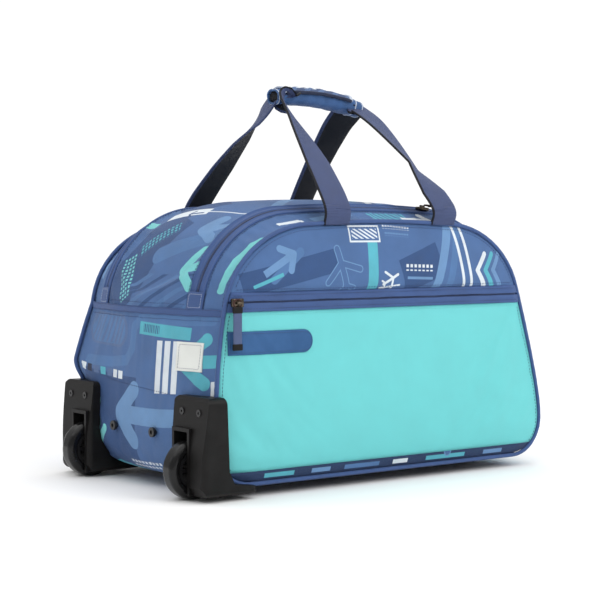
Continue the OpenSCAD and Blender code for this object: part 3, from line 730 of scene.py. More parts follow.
def stitch_mesh(name, runs, size=2.6 * MM, gap=1.3 * MM, radius=0.32 * MM):
    """Rows of sewn dashes. Each run is (points, normals)."""
    verts, faces = [], []
    n = THREAD_SIDES
    share = size / (size + gap)
    for points, normals in runs:
        dashes = max(1, int(length(points) / (size + gap)))
        ends = resample(points, dashes * 4)
        up = unit(resample(normals, dashes * 4))
        for i in range(dashes):
            a = ends[4 * i]
            b = a + (ends[4 * i + 4] - a) * share
            normal = up[4 * i + 2]
            side = np.cross(unit(b - a), normal)
            base = len(verts)
            for t, r, h in DASH:
                centre = a + (b - a) * t + normal * radius * h
                for k in range(n):
                    angle = 2 * math.pi * k / n
                    verts.append(centre + (side * math.cos(angle) + normal * math.sin(angle)) * radius * r)
            for ring in range(len(DASH) - 1):
                for k in range(n):
                    p, q = base + ring * n + k, base + ring * n + (k + 1) % n
                    faces.append((p, q, q + n, p + n))
            faces.append(tuple(base + k for k in range(n))[::-1])
            faces.append(tuple(base + (len(DASH) - 1) * n + k for k in range(n)))
    return mesh_piece(name, verts, faces)


# ---- the printed panels ----
STEP = 4 * MM


def print_top():
    """Along the arch from the wheel-end seam, and across the bag's depth."""
    art = Print("print_top", BASE_BLUE)
    art.bar((0, 60), (140, 70), -20, DEEP_BLUE)
    art.bar((150, -10), (90, 60), 60, DEEP_BLUE)
    art.stripes(((24, 30), (124, 42), -90), 28, 12, 0.45, MID_BLUE)
    art.stripes(((24, 30), (124, 42), -90), 28, 24, 0.2, DEEP_BLUE)
    art.checks(((74, 46), (62, 18), -52), 6, PRINT_TEAL)
    art.checks(((66, 62), (62, 22), -152), 6, PRINT_MINT)
    art.bar((118, 60), (38, 12), 90, PRINT_MINT)
    art.pill((68, 0), (100, 22), -66, MID_BLUE)
    art.arrow((50, -50), (28, 12), 98, PRINT_MINT, head=32, spread=52)
    art.arrow((108, -38), (56, 15), 106, SKY_BLUE, head=26)
    art.bar((134, 50), (70, 16), -80, PRINT_WHITE)
    art.arrow((137, 12), (24, 3), 100, DEEP_BLUE, head=9)
    art.bar((143, -10), (82, 2), -80, PRINT_WHITE)
    art.pipe(((28, -124), (70, -127), (112, -131)), 9, PRINT_MINT)
    art.bar((150, -122), (40, 5), 0, PRINT_WHITE)
    art.bar((205, -120), (70, 8), 8, SKY_BLUE)
    art.stripes(((300, -120), (60, 22), 0), 30, 7, 0.5, PRINT_TEAL)
    art.arrow((400, -120), (46, 7), 0, PRINT_WHITE, head=14)
    art.pipe(((430, -112), (520, -124), (600, -120)), 8, PRINT_MINT)
    art.pill((210, -60), (90, 12), 40, SKY_BLUE)
    art.checks(((230, 60), (90, 24), -30), 6, PRINT_TEAL)
    art.arrow((330, 10), (80, 12), 170, PRINT_MINT, head=34)
    art.bar((350, -66), (90, 9), 62, PRINT_WHITE)
    art.bar((366, -70), (94, 9), 62, SKY_BLUE)
    art.pipe(((400, 70), (460, 60), (470, 10), (540, 0)), 13, MID_BLUE)
    art.stripes(((470, -60), (60, 40), 0), 45, 10, 0.5, GREY_BLUE)
    art.arrow((560, 50), (60, 10), -20, SKY_BLUE, head=26)
    art.bar((600, -70), (60, 12), 80, PRINT_WHITE)
    art.pipe(((40, 124), (110, 120), (180, 126)), 9, SKY_BLUE)
    art.stripes(((260, 120), (80, 22), 0), 40, 8, 0.5, PRINT_MINT)
    art.arrow((470, 120), (60, 7), 0, PRINT_WHITE, head=14)
    return art.finish()


def print_end():
    """Up the end panel from the bottom, and across the bag's depth."""
    art = Print("print_end", BASE_BLUE)
    art.bar((30, 60), (120, 120), 0, DEEP_BLUE)
    art.pipe(((217, -122), (215, -4), (206, 10), (182, 12), (168, 24), (163, 60), (160, 112)), 12, MID_BLUE)
    art.pill((200, 44), (60, 38), 90, GREY_BLUE)
    art.pill((200, 46), (56, 32), 90, MID_BLUE)
    art.stripes(((200, 34), (80, 30), 90), 65, 9, 0.4, GREY_BLUE)
    art.bar((206, -2), (90, 14), -93, PRINT_TEAL)
    art.stripes(((206, -10), (30, 9), -93), 87, 3, 0.5, DEEP_BLUE)
    for v in (-42, -56, -70):
        art.bar((135, v), (58, 9), 0, PRINT_WHITE)
    art.arrow((170, -72), (66, 15), 90, PRINT_TEAL, head=44, spread=35)
    art.bar((128, -128), (19, 5), 0, PRINT_WHITE)
    for v, colour in ((36, PRINT_WHITE), (50, PRINT_WHITE), (64, GREY_BLUE), (78, PRINT_TEAL),
                      (92, GREY_BLUE), (106, NAVY), (120, PRINT_WHITE)):
        art.bar((146, v), (9, 10), 0, colour)
    art.arrow((108, 47), (114, 20), 90, SKY_BLUE, head=42, spread=42)
    art.arrow((58, 92), (54, 10), 180, PRINT_MINT, head=28, spread=44)
    art.bar((56, 114), (56, 6), 0, PRINT_TEAL)
    art.checks(((52, 20), (60, 14), -90), 7, PRINT_WHITE)
    art.bar((28, -14), (56, 9), -90, PRINT_WHITE)
    art.bar((40, -84), (30, 6), -90, SKY_BLUE)
    art.pipe(((20, 110), (40, 60), (34, 10)), 8, PRINT_TEAL)
    return art.finish()


def plane_mask(art, place, size, angle, grow=0.0):
    """A small aeroplane sign: body, two swept wings and a tail."""
    c, s = math.cos(math.radians(angle)), math.sin(math.radians(angle))

    def part(along, reach, width, turn):
        start = (place[0] + size * c * along, place[1] + size * s * along)
        return art.pill_mask(start, (size * reach, size * width + grow), angle + turn)
    mask = part(-0.5, 0.95, 0.13, 0)
    for turn in (-122, 122):
        mask = art.either(mask, art.either(part(0.12, 0.55, 0.12, turn), part(-0.4, 0.22, 0.09, turn)))
    return mask


def print_front():
    """Across the face from left to right, and up it."""
    art = Print("print_front", BASE_BLUE)
    art.bar((-190, 226), (130, 26), 12, DEEP_BLUE)
    art.bar((30, 232), (60, 40), 20, DEEP_BLUE)
    art.over(plane_mask(art, (-58, 243), 50, 108, 2.4), SKY_BLUE)
    art.over(plane_mask(art, (-58, 243), 50, 108), BASE_BLUE)
    art.bar((-14, 219), (56, 14), 90, PRINT_TEAL)
    art.bar((-46, 281), (44, 19), 0, PRINT_WHITE)
    art.bar((-44, 281), (40, 15), 0, BASE_BLUE)
    art.stripes(((-42, 281), (36, 11), 0), 60, 4, 0.5, PRINT_WHITE)
    art.checks(((4, 289), (40, 4), -4), 4, PRINT_WHITE)
    art.checks(((6, 281), (34, 4), -4), 4, SKY_BLUE)
    art.over(plane_mask(art, (12, 230), 24, 28), PRINT_WHITE)
    art.bar((-4, 220), (30, 2), 6, PRINT_WHITE)
    art.checks(((34, 243), (40, 8), -2), 6, PRINT_WHITE)
    art.bar((36, 231), (38, 3), -2, SKY_BLUE)
    art.bar((80, 214), (84, 12), 74, SKY_BLUE)
    art.bar((100, 214), (84, 10), 78, MID_BLUE)
    art.bar((125, 218), (74, 4), 103, PRINT_WHITE)
    art.bar((137, 218), (74, 4), 103, PRINT_WHITE)
    for x, colour in ((144, PRINT_WHITE), (157, PRINT_TEAL), (170, SKY_BLUE)):
        for turn in (-55, 55):
            art.pill((x, 238), (23, 6), turn, colour)
    art.pill((-150, 232), (46, 10), 40, MID_BLUE)
    art.arrow((-120, 262), (44, 8), 30, SKY_BLUE, head=18)
    art.bar((-176, 224), (40, 4), 20, PRINT_TEAL)
    art.bar((-235, 21), (500, 16), 0, (0.020, 0.042, 0.110, 1))
    for x, run, colour in ((-160, 40, PRINT_TEAL), (-96, 26, SKY_BLUE), (-50, 50, MID_BLUE),
                           (20, 22, PRINT_WHITE), (70, 60, PRINT_TEAL), (160, 30, SKY_BLUE)):
        art.bar((x, 22), (run, 5), 0, colour)
    art.arrow((-150, 110), (110, 20), 180, SKY_BLUE, head=44)
    art.pipe(((-180, 170), (-60, 175), (-40, 150), (-40, 90), (40, 80)), 13, MID_BLUE)
    art.checks(((60, 120), (90, 26), 35), 7, PRINT_TEAL)
    art.over(plane_mask(art, (110, 70), 80, 60, 3), SKY_BLUE)
    art.over(plane_mask(art, (110, 70), 80, 60), BASE_BLUE)
    for x in (-110, -94, -78):
        art.bar((x, 60), (60, 10), 90, PRINT_WHITE)
    art.stripes(((0, 140), (70, 44), 0), 45, 10, 0.4, GREY_BLUE)
    art.arrow((200, 160), (60, 12), 0, PRINT_MINT, head=28)
    return art.finish()


def web_paint(name, outer, inner, half_girth):
    """Ribbed webbing, with its two faces in two colours and painted shade in the hollows between its ribs."""
    paint = Paint(name, roughness=0.62, sheen=0.06, specular=0.2)
    uv = paint.cloth_place()
    girth, along = paint.split(uv)
    rib = paint.math("SINE", paint.math("MULTIPLY", along, 2 * math.pi / (1.5 * MM)))
    cord = paint.math("SINE", paint.math("MULTIPLY", girth, 2 * math.pi / (1.1 * MM)))
    height = paint.math("MULTIPLY_ADD", cord, 0.7, rib)
    under = paint.math("GREATER_THAN", girth, half_girth)
    base = paint.mix(under, outer, inner)
    clouds = paint.noise(uv, 60, 3)
    # painted shade: darker in the hollows between the ribs and cords, lighter on their tops; a cloudy random
    # tone is multiplied in next
    shade = paint.levels(height, -1.7, 1.7, 0.78, 1.12)
    shade = paint.math("MULTIPLY", shade, paint.levels(clouds, 0.3, 0.7, 0.92, 1.08))
    return paint.set(Base_Color=paint.shaded(base, shade), Normal=paint.bump(height, 0.2 * MM, 0.6),
                     Roughness=paint.levels(clouds, 0.3, 0.7, 0.55, 0.7))


teal_cloth = plain_cloth("teal_cloth", TEAL, sheen=0.03, wear=0.03)
slate_tape = plain_cloth("slate_tape", SLATE_LIGHT, pitch=1.0 * MM, sheen=0.08)
navy_cloth = plain_cloth("navy_cloth", NAVY)
thread = plain_cloth("thread", SLATE, pitch=0.5 * MM)
top_print = print_top()
end_print = print_end()
front_print = print_front()


OPEN = 9  # stands for a side of a box that has no limit
CUT_REACH = 20 * MM


def cut_boxes(piece, boxes):
    """Takes out the cloth inside each box, with clean edges."""
    work = bmesh.new()
    work.from_mesh(piece.data)

    def inside(face, lo, hi, reach=0.0):
        place = face.calc_center_median()
        return all(lo[k] - reach < place[k] < hi[k] + reach for k in range(3))

    for lo, hi in boxes:
        for axis in range(3):
            for value, sign in ((lo[axis], -1), (hi[axis], 1)):
                if abs(value) == OPEN:
                    continue
                normal, place = [0, 0, 0], [0, 0, 0]
                normal[axis], place[axis] = sign, value
                near = [f for f in work.faces if inside(f, lo, hi, CUT_REACH)]
                edges = {e for f in near for e in f.edges}
                verts = {v for f in near for v in f.verts}
                bmesh.ops.bisect_plane(work, geom=[*near, *edges, *verts], plane_co=place,
                                       plane_no=normal, dist=1e-6)
        bmesh.ops.delete(work, geom=[f for f in work.faces if inside(f, lo, hi)], context="FACES")
    work.to_mesh(piece.data)
    work.free()
    piece.data.update()


def well_box(side):
    """The inside of a wheel well, out to the middle of its walls."""
    lo, hi = low("tyre_front"), high("tyre_front")
    y0, y1 = sorted((side * (abs(lo.y) + 4 * MM), side * (abs(hi.y) - 4 * MM)))
    return (-OPEN, y0, -OPEN), (hi.x + 6 * MM, y1, hi.z + 11 * MM)


def dock_box():
    """The mouth of the tow handle's dock, inside its rim."""
    rim = 3 * MM
    lo, hi = low("tow_dock"), high("tow_dock")
    return (lo.x, lo.y + rim, lo.z + rim), (OPEN, hi.y - rim, hi.z - rim)


panels = {}


def add_panel(node, grid, material, slot="print_fabric", sim=None, cuts=(), flip=False):
    """A panel of cloth over its CAD node; sim is the puff's pressure, growth and cap in mm."""
    name = node + "_cloth"
    co, uv = grid
    piece = grid_piece(name, splay(co), uv, flip)
    if sim:
        puff(piece, sim[0], sim[1], sim[2] * MM)
    if cuts:
        cut_boxes(piece, cuts)
    panels[name] = surface_of(piece)
    thicken(piece, 1.2 * MM)
    finish_piece(piece, material, "bag", node, slot=slot)


def make_panels():
    def around(line, y0, y1, step=STEP):
        return gusset_grid(line, y0, y1, step)

    add_panel("top_centre_panel", around(arch_line, -ZIP_IN, ZIP_IN), top_print, sim=(3.0, 0.012, 6))
    add_panel("front_gusset_strip", around(arch_line, -HALF_D, -ZIP_OUT), top_print, sim=(2.0, 0.010, 2.5))
    add_panel("rear_gusset_strip", around(arch_line, ZIP_OUT, HALF_D), top_print, sim=(2.0, 0.010, 2.5))
    add_panel("wheel_end_panel", around(wheel_end_line, -HALF_D, HALF_D), end_print, sim=(2.0, 0.008, 3),
              cuts=(well_box(-1), well_box(1)))
    add_panel("handle_end_panel", around(handle_end_line, -HALF_D, HALF_D), end_print, sim=(2.0, 0.010, 4),
              cuts=(dock_box(),))
    add_panel("bottom_panel", around(bottom_line, -HALF_D, HALF_D, 3 * STEP), navy_cloth, "dark_fabric")
    add_panel("front_upper_panel", face_cap(STEP, (BAND_TOP,)), front_print, sim=(2.5, 0.008, 4))
    add_panel("front_pocket_panel", face_rows(STRIP_TOP, POCKET_TOP, STEP, (POCKET_TOP,)), teal_cloth,
              "teal_fabric", sim=(2.0, 0.003, 2.5))
    add_panel("front_bottom_strip", face_rows(FLOOR_GAP, STRIP_TOP, STEP), front_print, "dark_fabric")
    rear = face_whole(STEP)
    rear[0][..., 1] *= -1
    add_panel("rear_panel", rear, front_print, sim=(2.5, 0.008, 5), flip=True)


# ---- seams, piping and zips ----
def make_piping(side, node):
    """The corded seam round one face, a little uneven as sewn piping is."""
    points = outline(g=PIPING * 0.45)
    ring = resample(np.concatenate([points, points[:1]]), 420)[:-1]
    y = side * (HALF_D + PIPING * 0.5)
    count = np.arange(len(ring))
    wobble = 0.12 * MM * np.sin(count * 1.7) + 0.08 * MM * np.sin(count * 0.61)
    path = splay(np.stack([ring[:, 0], y + wobble, ring[:, 1]], 1))
    r = PIPING * 0.53
    piece = sweep(node + "_cord", path, np.tile(Y, (len(path), 1)), ring_profile(r, r), closed=True)
    finish_piece(piece, slate_tape, "bag", node, slot="slate_fabric")


def arch_frame(y, n, lift=0.0):
    """Places along the arch at depth y, with the directions along, across and outwards."""
    rows = []
    for d in (-1 * MM, 0, 1 * MM):
        p = resample(arch_line(y + d), n)
        rows.append(np.stack([p[:, 0], np.full(n + 1, y + d), p[:, 1]], 1))
    along = unit(np.gradient(rows[1], axis=0))
    across = unit(rows[2] - rows[0])
    out = unit(np.cross(along, across))
    return rows[1] + out * lift, along, across, out


def zip_height(t):
    """Height of the zip's section at a distance t from its middle."""
    t = abs(t) / MM
    lip = 1.5 * math.exp(-((t - 9.6) / 1.0) ** 2)
    tape = 0.35 if t > 2.2 else -0.5
    ridge = 0.5 * math.exp(-((t - 3.0) / 0.5) ** 2)
    return (lip + tape + ridge) * MM if t < 10.9 else 0.0


# Where the zip's section has points, from its edge to its middle, in mm.
ZIP_STEPS = (11, 10.6, 10.1, 9.6, 9.1, 8.6, 7.6, 5.5, 3.6, 3.0, 2.4, 2.0, 1, 0)


def make_zip(side, node):
    """One main zip over the arch: two taped lips and the row of teeth between them."""
    half = (ZIP_OUT - ZIP_IN) / 2
    steps = [-t * half / (11 * MM) for t in ZIP_STEPS]
    steps += [-t for t in steps[-2::-1]]
    n_s = 260
    co, uv = [], []
    for t in steps:
        place, _, _, out = arch_frame(side * ZIP_Y + t * MM, n_s)
        co.append(place + out * zip_height(t * MM))
        uv.append(np.stack([np.linspace(0, length(place), n_s + 1), np.full(n_s + 1, t * MM)], 1))
    piece = grid_piece(node + "_tapes", np.array(co), np.array(uv))
    thicken(piece, 1.0 * MM)
    finish_piece(piece, slate_tape, "bag", node, slot="slate_fabric")
    coil(node + "_coil", *(row[4:-4] for row in arch_frame(side * ZIP_Y, 430, -0.25 * MM)))


def hard(name, colour, roughness=0.5, grain=0.0, grain_scale=900, metallic=0.0, coat=0.0, wear=0.08):
    """Moulded or metal finish: fine grain, uneven gloss and a little colour variation."""
    paint = Paint(name, roughness=roughness, metallic=metallic, coat=coat, specular=0.5 if metallic else 0.16)
    place = paint.object_place()
    speck = paint.noise(place, grain_scale, 3, 0.6)
    cloud = paint.noise(place, 45, 3, 0.55)
    lighter = tuple(min(1, c * (1 + 2.2 * wear) + 0.004) for c in colour[:3]) + (1,)
    mixed = paint.mix(paint.levels(cloud, 0.35, 0.7), colour, lighter)
    rough = paint.levels(cloud, 0.3, 0.7, max(0.05, roughness - 0.06), min(1, roughness + 0.08))
    if grain:
        paint.set(Normal=paint.bump(speck, grain, 0.6))
    return paint.set(Base_Color=mixed, Roughness=rough)


black_plastic = hard("black_plastic", (0.007, 0.0065, 0.0065, 1), 0.42, grain=0.12 * MM)
gloss_rubber = hard("gloss_rubber", (0.005, 0.005, 0.0055, 1), 0.2, grain=0.03 * MM, coat=0.3)
hub_plastic = hard("hub_plastic", (0.011, 0.011, 0.012, 1), 0.35, grain=0.06 * MM)
steel = hard("steel", (0.50, 0.51, 0.53, 1), 0.30, metallic=1.0, grain=0.01 * MM, wear=0.05)
tube_metal = hard("tube_metal", (0.62, 0.63, 0.65, 1), 0.34, metallic=1.0, grain=0.02 * MM, wear=0.04)
dark_steel = hard("dark_steel", (0.012, 0.012, 0.013, 1), 0.30, metallic=0.3, wear=0.2)
coil_plastic = hard("coil_plastic", (0.055, 0.075, 0.150, 1), 0.4)
board_fibre = hard("board_fibre", (0.030, 0.028, 0.026, 1), 0.8, grain=0.2 * MM)


# ---- details sewn on ----
def strip_on(tree, centre, along, across, n_a, n_c, size, lift, edge_drop=0.8 * MM, rim=1.2 * MM, taper=None):
    """A low padded patch laid on a surface: a grid pressed onto it from outside."""
    normal = np.cross(along, across)
    co, uv = [], []
    for i in range(n_a + 1):
        a = (i / n_a - 0.5) * size[0]
        half = size[1] / 2 * (taper(i / n_a) if taper else 1.0)
        for j in range(n_c + 1):
            c = (j / n_c - 0.5) * 2 * half
            p = centre + along * a + across * c
            hit, _, _, _ = tree.ray_cast(Vector(p + normal * 30 * MM), Vector(-normal))
            base = np.array(hit) if hit else p
            inside = min(size[0] / 2 - abs(a), half - abs(c))
            drop = edge_drop * math.exp(-max(inside, 0) / rim)
            co.append(base + normal * (lift - drop))
            uv.append((a, c))
    return np.array(co).reshape(n_a + 1, n_c + 1, 3), np.array(uv).reshape(n_a + 1, n_c + 1, 2)


def border(grid):
    """The run of points a little inside a grid's edge, with its normals."""
    g = grid[2:-2, 2:-2]
    ring = np.concatenate([g[0, :-1], g[:-1, -1], g[-1, :0:-1], g[::-1, 0]])
    normal = unit(np.cross(g[-1, 0] - g[0, 0], g[0, -1] - g[0, 0]))
    return ring, np.tile(normal, (len(ring), 1))


def make_badge():
    """The pocket's badge: a flat patch with one round end."""
    lo, hi = low("pocket_badge"), high("pocket_badge")
    centre = np.array([(lo.x + hi.x) / 2, -HALF_D - FACE_BULGE, (lo.z + hi.z) / 2])
    size = (hi.x - lo.x, hi.z - lo.z)
    share = size[1] / 2 / size[0]

    def taper(t):
        if t < 1 - share:
            return 1.0
        k = (t - 1 + share) / share
        return max(0.06, math.sqrt(max(0.0, 1 - k * k)))

    co, uv = strip_on(panels["front_pocket_panel_cloth"], centre, X, Z, 90, 20, size, 2.2 * MM,
                      edge_drop=1.1 * MM, taper=taper)
    piece = grid_piece("badge_patch", co, uv, flip=True)
    thicken(piece, 1.4 * MM)
    finish_piece(piece, badge_rubber, "bag", "pocket_badge", slot="badge")
    ring, normals = border(co)
    run = (ring - Y * 0.1 * MM, -normals * np.sign(normals[0] @ Y))
    finish_piece(stitch_mesh("badge_stitches", [run], 1.8 * MM, 1.0 * MM, 0.2 * MM), thread, "bag")


LABEL_STEPS = 22


def make_label():
    """The side label, with its outer edge a little loose."""
    lo, hi = low("side_label"), high("side_label")
    centre = np.array([lo.x, (lo.y + hi.y) / 2, (lo.z + hi.z) / 2])
    size = (hi.y - lo.y, hi.z - lo.z)
    co, uv = strip_on(panels["wheel_end_panel_cloth"], centre, -Y, Z, LABEL_STEPS, LABEL_STEPS, size,
                      1.0 * MM, edge_drop=0.2 * MM)
    ripple = 0.5 + 0.5 * np.sin(np.linspace(0.4, 5.2, LABEL_STEPS + 1))
    for j, t in enumerate(np.linspace(0, 1, LABEL_STEPS + 1)):
        loose = max(0, 0.25 - t) * 4
        co[:, j, 0] -= loose**2 * 1.5 * MM * ripple
    piece = grid_piece("label_cloth", co, uv, flip=True)
    thicken(piece, 0.7 * MM)
    finish_piece(piece, label_cloth, "bag", "side_label", slot="label")
    ring, _ = border(co)
    run = (ring - X * 0.2 * MM, np.tile(-X, (len(ring), 1)))
    finish_piece(stitch_mesh("label_stitches", [run], 2.0 * MM, 1.0 * MM, 0.22 * MM), thread, "bag",
                 slot="slate_fabric")


def make_binding(side, node):
    """The tape over the seam between the arch and an end panel, with its rows of stitches."""
    y = np.linspace(-HALF_D - 1 * MM, HALF_D + 1 * MM, 90)
    path = []
    for v in y:
        points = section(min(abs(v), HALF_D))
        k = crossings(points, END_SEAM)[-1 if side < 0 else 0]
        path.append((cut_at(points, k, END_SEAM)[0] + side * 0.8 * MM, v, END_SEAM))
    path = splay(path)
    path[:, 2] += 0.25 * MM * np.sin(y * 240) + 0.2 * MM * np.sin(y * 97)
    profile = flat_profile(high(node).z - low(node).z, 2.0 * MM)
    band = sweep(node + "_tape", path, np.tile(Z, (len(path), 1)), profile)
    finish_piece(band, slate_tape, "bag", node, slot="slate_fabric")
    out = X * side
    runs = [(path + out * 0.95 * MM + Z * dz * MM, np.tile(out, (len(path), 1))) for dz in (-3, 3)]
    below = panels["wheel_end_panel_cloth" if side < 0 else "handle_end_panel_cloth"]
    runs.append(seated(below, path - Z * 8.5 * MM, 0.1 * MM))
    inner = [p for p in path if abs(p[1]) < ZIP_IN - 3 * MM]
    runs.append(seated(panels["top_centre_panel_cloth"], inner + Z * 8.5 * MM, 0.1 * MM))
    finish_piece(stitch_mesh(node + "_stitches", runs), thread, "bag", slot="slate_fabric")


def make_garages():
    """The four fabric tabs over the ends of the main zips."""
    verts, faces, uvs, runs = [], [], [], []
    n_s = 430
    for end in (-1, 1):
        for side in (-1, 1):
            rows = []
            for t in np.linspace(-12, 12, 17):
                place, _, _, out = arch_frame(side * ZIP_Y + t * MM, n_s)
                total = length(place)
                first, last = int(3 * MM / total * n_s), int(22.5 * MM / total * n_s)
                pick = np.arange(first, last + 1) if end < 0 else np.arange(n_s - last, n_s - first + 1)
                lift = 2.6 * MM - 1.0 * MM * (abs(t) / 12) ** 8
                rows.append(place[pick] + out[pick] * lift)
            rows = np.array(rows)
            base, k = len(verts), rows.shape[1]
            verts += list(rows.reshape(-1, 3))
            faces += [tuple(base + i for i in f) for f in grid_faces(len(rows), k)]
            a, b = np.meshgrid(np.arange(k) * 1.4 * MM, np.arange(len(rows)) * 1.5 * MM)
            uvs += list(np.stack([a, b], -1).reshape(-1, 2))
            ring, normals = border(rows)
            runs.append((ring, normals * np.sign(normals[0] @ np.array([end, 0, 0.3]))))
    piece = mesh_piece("zip_garage_tabs", verts, faces, uvs)
    thicken(piece, 1.6 * MM)
    finish_piece(piece, slate_tape, "bag", "zip_garages", slot="slate_fabric")
    finish_piece(stitch_mesh("garage_stitches", runs, 1.8 * MM, 1.0 * MM, 0.25 * MM), pale_thread, "bag",
                 slot="slate_fabric")


# The pocket zip's section, from its lower edge to its middle: share of its half width, and height in mm.
POCKET_ZIP = ((-1.12, -1.4), (-1.06, 0.6), (-0.98, 1.7), (-0.86, 1.9), (-0.5, 1.7), (-0.2, 2.2),
              (-0.12, 1.9), (-0.09, 0.8), (-0.085, -0.8), (0, -1.0))


def make_pocket_zip():
    """The straight zip band above the pocket, with its teeth and two rows of stitches."""
    mid, half = (POCKET_TOP + BAND_TOP) / 2, (BAND_TOP - POCKET_TOP) / 2
    depth = -HALF_D - BAND_Y
    steps = [*POCKET_ZIP, *((-t, h) for t, h in POCKET_ZIP[-2::-1])]
    co, uv = [], []
    n = 140
    for t, h in steps:
        z = mid + t * half
        a, b = row_limits(z)
        x = np.linspace(a, b, n + 1)
        wave = 0.25 * MM * np.sin(x * 61 + t) + 0.15 * MM * np.sin(x * 143)
        out = np.minimum(face_depth(x, np.full(n + 1, z)), depth) + h * MM + wave * (abs(t) > 0.1)
        co.append(np.stack([x, -HALF_D - out, np.full(n + 1, z) + wave * 0.6], 1))
        uv.append(np.stack([x, np.full(n + 1, z)], 1))
    piece = grid_piece("pocket_zip_tapes", np.array(co), np.array(uv))
    thicken(piece, 1.0 * MM)
    finish_piece(piece, slate_tape, "bag", "pocket_zip", slot="slate_fabric")
    a, b = row_limits(mid)
    x = np.arange(a + 8 * MM, b - 6 * MM, 1.5 * MM)
    place = np.stack([x, np.full(len(x), -HALF_D - depth + 0.4 * MM), np.full(len(x), mid)], 1)
    shape = (len(x), 1)
    coil("pocket_coil", place, np.tile(X, shape), np.tile(Z, shape), np.tile(-Y, shape))
    runs = []
    for t in (-0.72, 0.72):
        z = mid + t * half
        a, b = row_limits(z)
        x = np.linspace(a + 4 * MM, b - 4 * MM, 120)
        out = np.minimum(face_depth(x, np.full(120, z)), depth) + 1.95 * MM
        runs.append((np.stack([x, -HALF_D - out, np.full(120, z)], 1), np.tile(-Y, (120, 1))))
    finish_piece(stitch_mesh("pocket_zip_stitches", runs), thread, "bag", slot="slate_fabric")


def coil(name, place, along, across, out):
    """Alternating zip teeth along a line."""
    verts, faces = [], []
    for i in range(len(place)):
        s = 1 if i % 2 else -1
        a, b, c = along[i] * 0.62 * MM, across[i], out[i]
        base = len(verts)
        for reach, h in ((2.0, 0.45), (-0.9, 0.8)):
            e = place[i] + b * s * reach * MM
            for da, dc in ((-1, -0.6), (1, -0.6), (0.7, 1), (-0.7, 1)):
                verts.append(e + a * da + c * dc * h * MM)
        faces += [(base + k, base + (k + 1) % 4, base + 4 + (k + 1) % 4, base + 4 + k) for k in range(4)]
        faces += [(base + 3, base + 2, base + 1, base), (base + 4, base + 5, base + 6, base + 7)]
    piece = mesh_piece(name, verts, faces, smooth=False)
    finish_piece(piece, coil_plastic, "bag", slot="slate_fabric")


def make_seam_stitches():
    """Rows of stitches beside the zips and seams, and along the housings' upper edge."""
    runs = []

    def sew(name, at):
        runs.append(seated(panels[name], at, 0.1 * MM))

    def row(name, z):
        a, b = row_limits(z)
        sew(name, [(x, -HALF_D - 8 * MM, z) for x in np.linspace(a + 5 * MM, b - 5 * MM, 160)])

    for side, gusset in ((-1, "front_gusset_strip_cloth"), (1, "rear_gusset_strip_cloth")):
        for y, name in ((ZIP_OUT + 1.6 * MM, gusset), (ZIP_IN - 1.6 * MM, "top_centre_panel_cloth"),
                        (HALF_D - 3.5 * MM, gusset)):
            sew(name, arch_frame(side * y, 220)[0][3:-3])
    ring = [p for p in resample(outline(g=-4.5 * MM), 300) if p[1] > 30 * MM]
    pocket = [p for p in ring if p[1] < POCKET_TOP - 3 * MM]
    for side, name, part in (
        (-1, "front_pocket_panel_cloth", [p for p in pocket if p[0] > 0]),
        (-1, "front_pocket_panel_cloth", [p for p in pocket if p[0] < 0]),
        (-1, "front_upper_panel_cloth", [p for p in ring if p[1] > BAND_TOP + 3 * MM]),
        (1, "rear_panel_cloth", ring),
    ):
        sew(name, splay([(x, side * (HALF_D + 4 * MM), z) for x, z in part]))
    z_row = (BAND_TOP - POCKET_TOP) * 0.2
    row("front_upper_panel_cloth", BAND_TOP + z_row)
    across = np.linspace(85, -130, 90)
    sew("wheel_end_panel_cloth", [(-250 * MM, y * MM, (113 + 0.06 * y) * MM) for y in across])
    row("front_pocket_panel_cloth", POCKET_TOP - z_row)
    pocket_run = runs.pop()
    finish_piece(stitch_mesh("seam_stitches", runs), thread, "bag", slot="slate_fabric")
    finish_piece(stitch_mesh("pocket_stitches", [pocket_run]), teal_thread, "bag", slot="teal_fabric")


def make_front_wall():
    """The lining behind the pocket."""
    co, uv = face_rows(FLOOR_GAP + 3 * MM, SEAM_TOP - 3 * MM, 12 * MM)
    co[..., 1] = -HALF_D + 0.4 * MM
    co[..., 0] *= 0.985
    piece = grid_piece("front_wall_cloth", co, uv)
    thicken(piece, 1.0 * MM)
    finish_piece(piece, navy_cloth, "bag", "front_wall", slot="dark_fabric")


def make_floor_pad():
    """The loose pad over the tow tubes: domed, with soft edges and shallow quilting."""
    lo, hi = low("floor_pad"), high("floor_pad")
    work = bmesh.new()
    bmesh.ops.create_grid(work, x_segments=40, y_segments=24, size=0.5)
    verts = []
    for v in work.verts:
        inside = min(0.5 - abs(v.co.x), 0.5 - abs(v.co.y))
        lift = 1 - math.exp(-inside * 40)
        quilt = 0.12 * math.cos(v.co.x * 60) * math.cos(v.co.y * 36)
        height = (hi.z - lo.z) * (0.35 + 0.6 * lift + quilt * lift * 0.4)
        verts.append(((lo.x + hi.x) / 2 + v.co.x * (hi.x - lo.x), v.co.y * (hi.y - lo.y), lo.z + height))
    faces = [[v.index for v in f.verts] for f in work.faces]
    work.free()
    piece = mesh_piece("floor_pad_cloth", verts, faces, [v[:2] for v in verts])
    thicken(piece, (hi.z - lo.z) * 0.3)
    finish_piece(piece, navy_cloth, "bag", "floor_pad", slot="dark_fabric")


# ---- the carry handle ----
WEB_W = 36 * MM
WEB_T = 2.6 * MM
HINGE_Z = 312 * MM  # where the legs start to bend
LEG_X = (high("front_strap_roots").x + low("front_strap_roots").x) / 2
LEG_HALF = (high("front_strap_roots").x - low("front_strap_roots").x - WEB_W) / 2
LEG_STEPS = 90
# How each leg's webbing turns from its root to the grip, in degrees, by (side, end).
LEG_TURNS = {(-1, -1): (0, 0, 8, 28, 48, 60), (-1, 1): (0, 0, 46, 30, 14, 4),
             (1, -1): (180, 180, 190, 212, 250, 265), (1, 1): (180, 180, 172, 160, 140, 110)}


